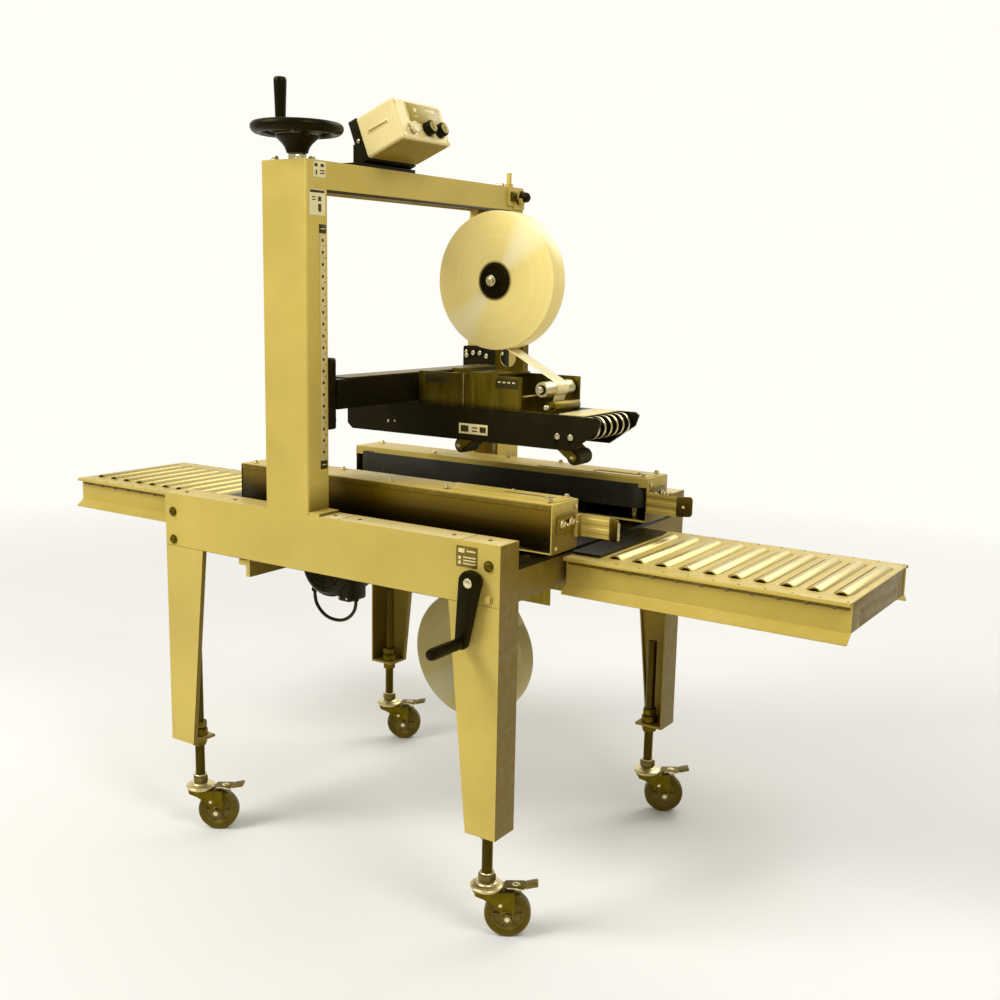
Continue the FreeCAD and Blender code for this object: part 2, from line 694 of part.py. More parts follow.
def lift_carriages():
    """Carriage plate and lead screw nut block on each mast."""
    pieces = []
    for side in (NEAR, FAR):
        inner = "machine_width/2 - mast_depth"
        plate_y = side_y(side, f"{inner} - 0.5 - carriage_plate/2")
        slab = block("mast_x + 2", plate_y, "carriage_low", "mast_width + 6", "carriage_plate",
                     "carriage_height")
        slab = round_edges(slab, 6, lambda edge: runs_along(edge, Vector(0, 1, 0)))
        block_depth = "mast_depth - plate - 6"
        nut_block = block("lift_x", side_y(side, f"{inner} + ({block_depth})/2 - 0.5"), "carriage_low + 43",
                          "46", block_depth, "60")
        bore = rod("lift_x", side_y(side, "machine_width/2 - lift_inset"), "carriage_low + 73", "z",
                   "lift_radius + rod_gap", "62")
        pieces.append(cut(fuse(slab, nut_block), bore))
        for offset_x in (-30, -10, 10, 30):
            x = f"mast_x - 18 + {offset_x}"
            y = side_y(side, f"{inner} - 0.5 - carriage_plate - 2")
            z = "carriage_low + carriage_height - 12 - " + str(abs(offset_x) // 3)
            pieces.append(rod(x, y, z, "y", "5.5", "4"))
    node("lift_carriages", group(*pieces))


# ---------------------------------------------------------------- upper taping head

def head_frame():
    """Cross arm between the carriages, side plates, spacers, nose discs and top cover."""
    arm_length = "machine_width - 2*mast_depth - 2*carriage_plate - 1"
    arm_x = "mast_x + mast_width/2 + 9 - arm_depth/2"
    arm = cut(block(arm_x, "centre_y", "arm_low", "arm_depth", arm_length, "arm_height"),
              block(arm_x, "centre_y", "arm_low + plate", "arm_depth - 2*plate", arm_length + " + 2",
                    "arm_height - 2*plate"))
    outline = [("head_tail + 14", "head_low"), ("head_nose - 68", "head_low"),
               ("head_nose - 8", "head_low + 42"), ("head_nose", "head_top - 6"),
               ("head_nose - 8", "head_top"), ("head_tail + 26", "head_top"),
               ("head_tail", "head_low + 46"), ("head_tail", "head_low + 12")]
    pieces = [arm]
    for side in (NEAR, FAR):
        y = side_y(side, "head_half - head_plate/2")
        pieces.append(plate_body(SIDE_NAMES[side] + "_head_plate", outline, "head_plate", y))
        for bolt_x in ("head_nose - 107", "head_nose - 76"):
            pieces.append(rod(bolt_x, side_y(side, "head_half + 2"), "head_low + 19", "y", "6.5", "4"))
    inside = "2*head_half - 2*head_plate"
    for spacer_x, spacer_z in (("head_tail + 30", "head_low + 19"), ("head_nose - 107", "head_top - 14")):
        pieces.append(rod(spacer_x, "centre_y", spacer_z, "y", "7", inside))
    nose_x, nose_z = "head_nose - 36", "head_top - 24"
    axle = rod(nose_x, "centre_y", nose_z, "y", "6", inside)
    discs = [rod(nose_x, f"centre_y + {offset}", nose_z, "y", "22", "9")
             for offset in (-65, -39, -13, 13, 39, 65)]
    pieces.append(fuse(axle, *discs))
    pieces.append(block("head_nose - 86", "centre_y", "head_top - 3", "86", inside, "3"))
    node("head_frame", group(*pieces))


def cartridge_rods(places, half):
    return [rod(x, "centre_y", z, "y", radius, f"2*({half})") for x, z, radius in places]


def upper_cartridge():
    """Sheet-metal side plates of the upper taping cartridge with its cross rods and tension shaft."""
    half = "cartridge_half - cartridge_plate"
    base = "head_low + 14"
    pieces = []
    for side, nose in ((NEAR, "cartridge_nose"), (FAR, "cartridge_far_nose")):
        y = side_y(side, f"{half} + cartridge_plate/2")
        middle = f"(cartridge_tail + {nose})/2"
        upper = block(middle, y, base, f"{nose} - cartridge_tail", "cartridge_plate",
                      f"cartridge_top - ({base})")
        lower = block("(cartridge_tail + cartridge_far_nose)/2", y, base,
                      "cartridge_far_nose - cartridge_tail", "cartridge_plate", f"head_top - ({base})")
        pieces.append(fuse(upper, lower))
    pieces += cartridge_rods([("upper_front_pivot", "upper_pivot_z", "6"),
                              ("upper_rear_pivot", "upper_pivot_z", "6"),
                              ("cartridge_tail + 20", "cartridge_top - 14", "6"),
                              ("cartridge_nose - 12", "cartridge_top - 46", "5")], half)
    shaft_length = "2*cartridge_half - 2"
    pieces.append(rod("tension_x", f"centre_y + {half} - ({shaft_length})/2", "tension_z", "y", "5",
                      shaft_length))
    guide = fuse(rod("cartridge_far_nose - 6", f"centre_y + {half} - 55", "head_top + 10", "y", "12", "102"),
                 rod("cartridge_far_nose - 6", f"centre_y + {half} - 58", "head_top + 10", "y", "5", "116"))
    pieces.append(guide)
    pieces.append(block("(head_tail + cartridge_tail)/2 + 92", "centre_y", "cartridge_top - 26", "3",
                        f"2*({half})", "22"))
    for side in (NEAR, FAR):
        gap = f"head_half - head_plate - cartridge_half"
        for x in ("cartridge_tail + 40", "cartridge_nose - 30"):
            pieces.append(block(x, side_y(side, f"cartridge_half + ({gap})/2"), "head_low + 30", "24", gap,
                                "12"))
    node("upper_tape_cartridge", group(*pieces))


def upper_roll_bracket():
    """Upright bracket with a lightening hole, standing on the cartridge, and the roll's mandrel."""
    plate_y = "centre_y + tape_width/2 + 10"
    top = "upper_roll_z + 24"
    upright = block("tape_x + 4", plate_y, "cartridge_top", "72", "4", f"{top} - cartridge_top")
    flange = block("tape_x + 38", f"{plate_y} + 10", "cartridge_top", "4", "20", f"{top} - cartridge_top")
    foot = block("tape_x + 4", "centre_y", "cartridge_top", "72", "2*cartridge_half", "4")
    window = rod("tape_x + 1", plate_y, "cartridge_top + 33", "y", "21", "10")
    mandrel = rod("tape_x", f"{plate_y} - (tape_width + 26)/2", "upper_roll_z", "y", "mandrel_radius",
                  "tape_width + 26")
    collar = rod("tape_x", f"{plate_y} - 4", "upper_roll_z", "y", "16", "6")
    node("upper_roll_bracket", cut(fuse(upright, flange, foot, mandrel, collar), window))


def tape_roll(x, z):
    """A full tape roll: the wound tape and, inside its core, the hub that turns on the mandrel."""
    tape = tube(x, "centre_y", z, "y", "tape_radius", "core_radius", "tape_width")
    hub = tube(x, "centre_y", z, "y", "core_radius - slack", "mandrel_radius + rod_gap", "tape_width + 4")
    cap = tube(x, "centre_y - tape_width/2 - 6", z, "y", "core_radius - 4", "mandrel_radius + rod_gap", "8")
    return group(tape, fuse(hub, cap))


def wipe_arm(pivot_x, pivot_z, lean, drop):
    """A pair of swinging cheeks on a pivot tube, with a rubber roller at their free end."""
    tip_x = f"{pivot_x} + {lean}*wipe_reach"
    tip_z = f"{pivot_z} + {drop}*wipe_drop"
    angle = math.degrees(math.atan2(drop * size("wipe_drop"), lean * size("wipe_reach")))
    reach = "sqrt(wipe_reach^2 + wipe_drop^2)"
    cheeks = []
    for side in (NEAR, FAR):
        cheek = doc.addObject("Part::Box", "cheek")
        bind(cheek, Length=reach, Width="3", Height="20")
        turn = Rotation(Vector(0, 1, 0), -angle)
        corner = turn.multVec(Vector(0, 0, -10))
        place(cheek, f"{pivot_x} + ({corner.x:.4f})", side_y(side, "wipe_half") + " - 1.5",
              f"{pivot_z} + ({corner.z:.4f})", turn)
        cheeks.append(cheek)
        cheeks.append(rod(tip_x, side_y(side, "wipe_half"), tip_z, "y", "10", "3"))
    tube_length = "2*wipe_half + 3"
    pivot = rod(pivot_x, "centre_y", pivot_z, "y", "11", tube_length)
    bore = rod(pivot_x, "centre_y", pivot_z, "y", "6 + rod_gap", tube_length + " + 4")
    axle = rod(tip_x, "centre_y", tip_z, "y", "5", "2*wipe_half")
    frame = cut(fuse(*cheeks, pivot, axle), bore)
    roller = tube(tip_x, "centre_y", tip_z, "y", "wipe_radius", "5 + rod_gap", "2*wipe_half - 10")
    return group(frame, roller)


# ---------------------------------------------------------------- lower taping head

def lower_cartridge():
    """The lower cartridge hangs from the deck, with the mandrel bracket of the lower roll below it."""
    half = "cartridge_half - cartridge_plate"
    low, high = "bed_top - 150", "bed_top - deck_plate"
    pieces = []
    for side in (NEAR, FAR):
        pieces.append(block("(head_slot_low + head_slot_high)/2", side_y(side, f"{half} + cartridge_plate/2"),
                            low, "head_slot_high - head_slot_low + 16", "cartridge_plate",
                            f"({high}) - 4 - ({low})"))
    pieces += cartridge_rods([("lower_front_pivot", "lower_pivot_z", "6"),
                              ("lower_rear_pivot", "lower_pivot_z", "6"),
                              ("-40", f"{low} + 20", "6"), ("292", f"{low} + 20", "6")], half)
    for end_x in ("head_slot_low - 5", "head_slot_high + 5"):
        pieces.append(block(end_x, "centre_y", high + " - 4", "12", "2*head_slot_half + 8", "4"))
    plate_y = "centre_y + tape_width/2 + 10"
    hanger = block("lower_roll_x", plate_y, "lower_roll_z - 24", "60", "4",
                   f"{low} + 24 - (lower_roll_z - 24)")
    bridge = block("lower_roll_x", "centre_y", low + " + 20", "60", f"2*({half})", "4")
    mandrel = rod("lower_roll_x", f"{plate_y} - (tape_width + 26)/2", "lower_roll_z", "y",
                  "mandrel_radius", "tape_width + 26")
    collar = rod("lower_roll_x", f"{plate_y} - 4", "lower_roll_z", "y", "16", "6")
    pieces.append(fuse(hanger, bridge, mandrel, collar))
    node("lower_tape_cartridge", group(*pieces))


# ---------------------------------------------------------------- belt units

def belt_unit(side):
    """Housing of one side belt: top and bottom plates, outer cover, ends, drum shafts and brackets."""
    length = "drive_nose - drive_tail"
    middle = "(drive_nose + drive_tail)/2"
    depth = "drive_outer - drive_inner"
    y = side_y(side, f"drive_inner + ({depth})/2")
    shell = block(middle, y, "drive_low", length, depth, "drive_high - drive_low")
    outer_edge = size("centre_y") + side * size("drive_outer")
    shell = round_edges(shell, 7, lambda edge: runs_along(edge, Vector(1, 0, 0))
                        and abs(edge.CenterOfMass.y - outer_edge) < 1)
    void = block(middle, side_y(side, f"drive_inner + ({depth})/2 - plate"), "drive_low + plate",
                 length + " - 2*plate", depth, "drive_high - drive_low - 2*plate")
    hollow = cut(shell, void)
    drum_y = side_y(side, "belt_face + belt_thick + slack + drum_radius")
    shafts = [rod(x, drum_y, "(drive_low + drive_high)/2", "z", "8", "drive_high - drive_low - 2*plate")
              for x in ("drive_tail + drum_inset", "drive_nose - drum_inset")]
    backing = block(middle, side_y(side, "belt_face + belt_thick + slack + 3"), "belt_low + 6",
                    f"{length} - 2*drum_inset - 70", "6", "belt_width - 12")
    posts = [block(f"{middle} + {offset}", side_y(side, "belt_face + belt_thick + slack + 6 + 5"),
                   "drive_low + plate", "16", "10", "drive_high - drive_low - 2*plate")
             for offset in (-250, 0, 250)]
    wing_y = side_y(side, "belt_face + belt_thick/2 + 3")
    wing = block("drive_nose + 36", wing_y, "belt_low - 8", "72", "4", "44")
    stay = block("drive_nose + 4", side_y(side, "belt_face + 10"), "belt_low - 8", "8", "18", "44")
    flare = doc.addObject("Part::Box", "flare")
    bind(flare, Length="34", Width="4", Height="44")
    turn = Rotation(Vector(0, 0, 1), side * 32)
    corner = turn.multVec(Vector(0, -2, 0))
    place(flare, f"drive_nose + 71 + ({corner.x:.4f})", f"{wing_y} + ({corner.y:.4f})", "belt_low - 8", turn)
    tension = block("drive_nose + 4", side_y(side, "(drive_outer + drive_inner)/2"), "drive_low + 40",
                    "8", "72", "36")
    screws = [rod("drive_nose + 11", side_y(side, offset), "drive_low + 58", "x", "5", "6")
              for offset in ("drive_outer - 32", "drive_outer - 66")]
    unit_y = side_y(side, "195")
    neck_high = "drive_low - (bed_top - deck_plate)"
    brackets = []
    for x, z in (("screw_x", "screw_z"), ("guide_x", "screw_z"), ("spline_x", "spline_z")):
        foot = block(x, unit_y, f"{z} - 18", "40", "40", f"bed_top - deck_plate - 1 - ({z} - 18)")
        neck = block(x, unit_y, "bed_top - deck_plate - 1", "slot_width - 6", "40", neck_high + " + 1")
        bore = rod(x, unit_y, z, "y", "screw_radius + rod_gap", "60")
        brackets.append(cut(fuse(foot, neck), bore))
    body = fuse(hollow, backing, *posts, *shafts, stay, wing, flare, *brackets)
    node(SIDE_NAMES[side] + "_belt_unit", group(body, fuse(tension, *screws)))


def side_belt(side):
    """Flat belt round the two drums of a unit."""
    y = side_y(side, "belt_face + belt_thick + slack + drum_radius")
    loops = []
    for radius, height in (("drum_radius + slack + belt_thick", "belt_width"),
                           ("drum_radius + slack", "belt_width + 2")):
        tail = rod("drive_tail + drum_inset", y, "belt_low + belt_width/2", "z", radius, height)
        nose = rod("drive_nose - drum_inset", y, "belt_low + belt_width/2", "z", radius, height)
        middle = block("(drive_tail + drive_nose)/2", y, f"belt_low + belt_width/2 - ({height})/2",
                       "drive_nose - drive_tail - 2*drum_inset", f"2*({radius})", height)
        loops.append(fuse(tail, nose, middle))
    node(SIDE_NAMES[side] + "_side_belt", cut(*loops))


def belt_drum(side):
    """Drive drum at the exit end of a belt unit."""
    y = side_y(side, "belt_face + belt_thick + slack + drum_radius")
    node(SIDE_NAMES[side] + "_drive_drum",
         tube("drive_tail + drum_inset", y, "belt_low + belt_width/2", "z", "drum_radius",
              "8 + rod_gap", "belt_width + 4"))


def width_crank():
    """Left- and right-hand width screw with the crank arm on its near end, and the crank's grip."""
    outside = "machine_width/2"
    near_end = f"{outside} + 22"
    far_end = f"{outside} - plate + 1"
    screw = rod("screw_x", f"centre_y - ({near_end} - ({far_end}))/2", "screw_z", "y", "screw_radius",
                f"{near_end} + {far_end}")
    boss = rod("screw_x", side_y(NEAR, f"{outside} + 13"), "screw_z", "y", "24", "22")
    flange = rod("screw_x", side_y(NEAR, f"{outside} + 1.6"), "screw_z", "y", "17", "1.8")
    tip_x = "screw_x - crank_reach*sin(crank_swing)"
    tip_z = "screw_z - crank_reach*cos(crank_swing)"
    tip = rod(tip_x, side_y(NEAR, f"{outside} + 15"), tip_z, "y", "14", "18")
    arm = doc.addObject("Part::Wedge", "crank_arm")
    bind(arm, Xmin="-22", Xmax="22", Ymin="0", Ymax="crank_reach", X2min="-13", X2max="13")
    bind(arm, Zmin="0", Zmax="16", Z2min="0", Z2max="16")
    swing = size("crank_swing")
    turn = Rotation(Vector(0, 1, 0), swing).multiply(Rotation(Vector(1, 0, 0), -90))
    place(arm, "screw_x", side_y(NEAR, f"{outside} + 23"), "screw_z", turn)
    pin = rod(tip_x, side_y(NEAR, f"{outside} + 54"), tip_z, "y", "5", "66")
    cap = rod("screw_x", side_y(NEAR, f"{outside} + 26"), "screw_z", "y", "7", "4")
    node("width_crank", fuse(screw, boss, flange, arm, tip, pin, cap))
    grip = rod(tip_x, side_y(NEAR, f"{outside} + 25 + crank_grip/2"), tip_z, "y", "12", "crank_grip")
    grip = round_edges(grip, 4, lambda edge: edge.Curve.TypeId == "Part::GeomCircle")
    hole = rod(tip_x, side_y(NEAR, f"{outside} + 25 + 31"), tip_z, "y", "5 + rod_gap", "64")
    node("width_crank_grip", cut(grip, hole))


# ---------------------------------------------------------------- controls

# Places of the controls on the front panel: across and up from its middle, millimetres.
CONTROLS = {"start_button": (-42, -20), "speed_knob": (8, -17), "power_knob": (48, -17)}


def tilted(thing, forward, across, up):
    """Place a piece drawn about its own origin on the tilted control box, in the box's own axes."""
    x = f"box_x + ({forward})*cos(box_tilt) - ({up})*sin(box_tilt)"
    z = f"box_z + ({forward})*sin(box_tilt) + ({up})*cos(box_tilt)"
    return place(thing, x, f"centre_y + box_y + ({across})", z, Rotation(Vector(0, 1, 0), -size("box_tilt")))


def control_box():
    shell = doc.addObject("Part::Box", "box_shell")
    bind(shell, Length="box_depth", Width="box_width", Height="box_height")
    place(shell, "-box_depth/2", "-box_width/2", "-box_height/2")
    shell = round_edges(shell, 5, lambda edge: True)
    cavity = block("0", "0", "5 - box_height/2", "box_depth - 10", "box_width - 10", "box_height - 10")
    holes = [cavity]
    for across, up in CONTROLS.values():
        holes.append(rod("box_depth/2", str(across), str(up), "x", "4 + rod_gap", "50"))
    legend = block("box_depth/2 + 0.5", "14", "2", "1", "118", "36")
    node("control_box", tilted(group(cut(shell, *holes), legend), "0", "0", "0"))


def control(name):
    """A knob or button whose stem runs in a hole of the front panel."""
    across, up = CONTROLS[name]
    stem = rod("-9", "0", "0", "x", "4", "24")
    if name == "start_button":
        pieces = [stem, rod("7", "0", "0", "x", "12", "8")]
    else:
        pieces = [stem, rod("9.5", "0", "0", "x", "14", "16"),
                  block("19.5", "0", "-12.5", "4", "5", "25")]
    node(name, tilted(group(fuse(*pieces)), "box_depth/2", str(across), str(up)))


def control_bracket():
    """Wedge-shaped bracket behind the box, on a base plate bolted to the beam."""
    back = doc.addObject("Part::Box", "bracket_back")
    bind(back, Length="22", Width="box_width - 4", Height="box_height + 4")
    tilted(back, "-box_depth/2 - 22.4", "-box_width/2 + 2", "-box_height/2 - 2")
    base = block("box_x - 64", "centre_y + box_y - 8", "mast_top", "56", "box_width + 22", "8")
    stays = [block("box_x - 58", f"centre_y + box_y + {offset}", "mast_top", "26", "20", "46")
             for offset in (-70, 60)]
    node("control_box_bracket", fuse(back, base, *stays))


# ---------------------------------------------------------------- belt motor and its lead

MOTOR_FACE = -170
TERMINAL_Y = -138
LEAD_BACK = 64
GLAND_DROP = 77
TERMINAL_DROP = 81
LEAD_RUNS = ((20, -90), (26, -56), (26, -32), (26, -8), (26, 8), (26, 32), (26, 56))
LEAD_SPAN = sum(run * math.cos(math.radians(heading)) for run, heading in LEAD_RUNS)


def belt_motor():
    """Gearmotor under the bed with the splined cross shaft that both belt units slide along."""
    motor = rod("motor_x", f"centre_y + {MOTOR_FACE} + 45", "motor_z", "y", "motor_radius", "90")
    fan_cover = rod("motor_x", f"centre_y + {MOTOR_FACE} - 10", "motor_z", "y", "motor_radius - 5", "20")
    gearbox = block("(spline_x + motor_x)/2 - 4", f"centre_y + {MOTOR_FACE} + 160", "motor_z - 40",
                    "motor_x - spline_x + 80", "140", "spline_z + 26 - (motor_z - 40)")
    shaft = rod("spline_x", "centre_y", "spline_z", "y", "screw_radius", "620")
    terminal = block("motor_x + 50", f"centre_y + {TERMINAL_Y}", "motor_z - 78", "36", "60", "86")
    gland = rod(f"motor_x - {LEAD_BACK} + {LEAD_SPAN}", f"centre_y + {TERMINAL_Y}",
                f"motor_z - {TERMINAL_DROP} + 6", "z", "7", "12")
    low_gland = rod(f"motor_x - {LEAD_BACK}", f"centre_y + {TERMINAL_Y}",
                    f"motor_z - {GLAND_DROP} + 30", "z", "8", "60")
    node("belt_motor", fuse(motor, fan_cover, gearbox, shaft, terminal, gland, low_gland))


def lead_points():
    """Route of the hanging lead, from the motor's gland round to the terminal box's gland."""
    points = [Vector(size("motor_x") - LEAD_BACK, size("centre_y") + TERMINAL_Y,
                     size("motor_z") - GLAND_DROP)]
    for run, heading in LEAD_RUNS:
        angle = math.radians(heading)
        points.append(points[-1] + Vector(run * math.cos(angle), 0, run * math.sin(angle)))
    points.append(Vector(points[-1].x, points[-1].y, size("motor_z") - TERMINAL_DROP))
    return points


def motor_lead():
    """Straight runs joined by arcs that are tangent to them."""
    points = lead_points()
    edges = []
    start = points[0]
    for before, corner, after in zip(points, points[1:], points[2:]):
        into, out = (corner - before), (after - corner)
        turn = into.getAngle(out)
        shorter = min(into.Length, out.Length)
        radius = 0.45 * shorter / math.tan(turn / 2)
        into.normalize()
        out.normalize()
        first = corner - into * (0.45 * shorter)
        last = corner + out * (0.45 * shorter)
        inward = (out - into).normalize()
        middle = corner + inward * (radius / math.cos(turn / 2) - radius)
        print(f"motor_lead: arc radius {radius:.1f} mm")
        edges.append(Part.LineSegment(start, first).toShape())
        edges.append(Part.Arc(first, middle, last).toShape())
        start = last
    edges.append(Part.LineSegment(start, points[-1]).toShape())
    path = Part.Wire(edges)
    radius = size("cable_radius")
    section = Part.Wire([Part.makeCircle(radius, points[0], points[1] - points[0])])
    tube_shape = path.makePipeShell([section], True, False)
    expected = math.pi * radius ** 2 * path.Length
    print(f"motor_lead: length {path.Length:.1f} mm, volume {tube_shape.Volume:.0f} of {expected:.0f} mm3")
    lead = doc.addObject("Part::Feature", "motor_lead")
    lead.Shape = tube_shape
    node("motor_lead", lead)


# ---------------------------------------------------------------- the whole machine

for which in (NEAR, FAR):
    side_panel(which)
    leg_tab_slot(SIDE_NAMES[which] + "_side_panel", which)
    mast(which)
    lift_screw(which)
    belt_unit(which)
    side_belt(which)
    belt_drum(which)
    for table_end in (EXIT, INFEED):
        leg(table_end, which)
        caster(table_end, which)
for table_end in (EXIT, INFEED):
    table_frame(table_end)
node("end_cross_beams", group(cross_beam(EXIT), cross_beam(INFEED), motor_stay()))
node("table_rollers", group(*table_rollers(EXIT), *table_rollers(INFEED)))
levelling_stems()
top_beam()
frame_bolts()
bed_deck()
handwheel()
lift_chain()
lift_carriages()
head_frame()
upper_cartridge()
upper_roll_bracket()
node("upper_tape_roll", tape_roll("tape_x", "upper_roll_z"))
node("lower_tape_roll", tape_roll("lower_roll_x", "lower_roll_z"))
node("upper_tension_roller", tube("tension_x", "centre_y - 5", "tension_z", "y", "tension_radius",
                                  "5 + rod_gap", "114"))
node("upper_front_arm", wipe_arm("upper_front_pivot", "upper_pivot_z", 1, -1))
node("upper_rear_arm", wipe_arm("upper_rear_pivot", "upper_pivot_z", -1, -1))
node("lower_front_arm", wipe_arm("lower_front_pivot", "lower_pivot_z", 1, 1))
node("lower_rear_arm", wipe_arm("lower_rear_pivot", "lower_pivot_z", -1, 1))
lower_cartridge()
width_crank()
control_box()
control_bracket()
for control_name in CONTROLS:
    control(control_name)
belt_motor()
motor_lead()

doc.recompute()
failed = [thing.Label for thing in doc.Objects if {"Invalid", "Error"} & set(thing.State)]
failed += [label for label, thing in NODES.items() if thing.Shape.isNull() or not thing.Shape.isValid()]
if failed:
    raise RuntimeError("failed objects: " + ", ".join(failed))

os.makedirs("parts", exist_ok=True)
whole = FreeCAD.BoundBox()
for label, thing in sorted(NODES.items()):
    thing.Shape.exportStep(f"parts/{label}.step")
    whole.add(thing.Shape.BoundBox)
print(f"{len(NODES)} nodes; box x {whole.XMin:.1f} {whole.XMax:.1f} y {whole.YMin:.1f} {whole.YMax:.1f} "
      f"z {whole.ZMin:.1f} {whole.ZMax:.1f}")
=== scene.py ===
"""Looks of the side-belt carton sealer: materials, fine shapes, camera, light and floor.

Numbers in the shapes are millimetres in the CAD's frame; the finished objects are in metres.
"""
import math

import bmesh
import bpy
from mathutils import Matrix, Vector


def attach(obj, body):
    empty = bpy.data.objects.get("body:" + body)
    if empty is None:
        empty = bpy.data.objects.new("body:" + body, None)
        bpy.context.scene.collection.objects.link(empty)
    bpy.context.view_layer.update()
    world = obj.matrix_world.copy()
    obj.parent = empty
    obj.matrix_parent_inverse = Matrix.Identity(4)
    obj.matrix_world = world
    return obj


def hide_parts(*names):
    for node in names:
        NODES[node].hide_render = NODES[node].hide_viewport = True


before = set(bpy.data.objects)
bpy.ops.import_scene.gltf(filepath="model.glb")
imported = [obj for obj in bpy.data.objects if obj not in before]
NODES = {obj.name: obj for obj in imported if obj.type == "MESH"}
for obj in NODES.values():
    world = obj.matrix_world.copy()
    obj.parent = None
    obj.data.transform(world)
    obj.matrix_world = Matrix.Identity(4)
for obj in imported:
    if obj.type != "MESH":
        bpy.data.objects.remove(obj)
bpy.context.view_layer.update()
MM = 0.001
NEAR, FAR = -1, 1
SIDES = {"near": NEAR, "far": FAR}
ENDS = {"exit": -1, "infeed": 1}

CY = 47.85                              # Y of the machine's long middle plane
PANEL_Y = 392.5                         # outer face of a side panel from the middle plane
PANEL_TOP = 798.1
MAST_X, MAST_TOP = -79, 1499            # middle and cap of the masts
DECK_Z = 750
STEM_X, STEM_Y = 403.5, 350.5
AXLE = (42, 46.5)                       # caster axle: trail and height
SCREW_X, SCREW_Y = -69, 362.5           # lead screws
WIDTH_SCREW = (392, 725)                # X and Z of the width screw, the motor's shaft and the guide rod
SHAFT = (-330, 690)
GUIDE_ROD = (-250, 725)
BELT_Y, BELT_Z = 183.4, 817             # middle of a side belt
DRUM_X, IDLER_X = -311, 426             # its drive drum and its idler
BELT_MIDDLE = (DRUM_X + IDLER_X) / 2
UPPER_ROLL, LOWER_ROLL = (177, 1274), (123, 437)        # X and Z of the tape rolls
TENSION, GUIDE = (324, 1054), (339, 1018)               # X and Z of the tension and the guide roller
TAPE_WIDTH = 47
ARM_X, ARM_Z = 92, 70                   # from a wiping arm's pivot to its roller
HEAD_Y, CARTRIDGE_Y = 85, 63            # outer faces of the head's and the cartridge's side plates


# ---------------------------------------------------------------- camera, light, floor

def add_to_scene(name, data):
    made = bpy.data.objects.new(name, data)
    bpy.context.scene.collection.objects.link(made)
    return made


def make_camera():
    data = bpy.data.cameras.new("camera")
    data.lens = 43.03
    data.sensor_width = 36
    data.clip_end = 50
    data.dof.use_dof = False
    place = (1.6114, -2.1211, 1.2697)
    yaw, pitch, roll = math.radians(-33.31), math.radians(-10.29), math.radians(1.15)
    ahead = Vector((math.sin(yaw) * math.cos(pitch), math.cos(yaw) * math.cos(pitch), math.sin(pitch)))
    right = Vector((math.cos(yaw), -math.sin(yaw), 0))
    up = right.cross(ahead)
    right_rolled = math.cos(roll) * right + math.sin(roll) * up
    up_rolled = right_rolled.cross(ahead)
    turn = Matrix((right_rolled, up_rolled, -ahead)).transposed()
    camera = add_to_scene("camera", data)
    camera.matrix_world = Matrix.Translation(place) @ turn.to_4x4()
    bpy.context.scene.camera = camera


def area_light(name, place, target, width, power):
    data = bpy.data.lights.new(name, "AREA")
    data.shape = "SQUARE"
    data.size = width
    data.energy = power
    light = add_to_scene(name, data)
    light.location = place
    light.rotation_euler = (Vector(target) - Vector(place)).to_track_quat("-Z", "Y").to_euler()


# ---------------------------------------------------------------- materials

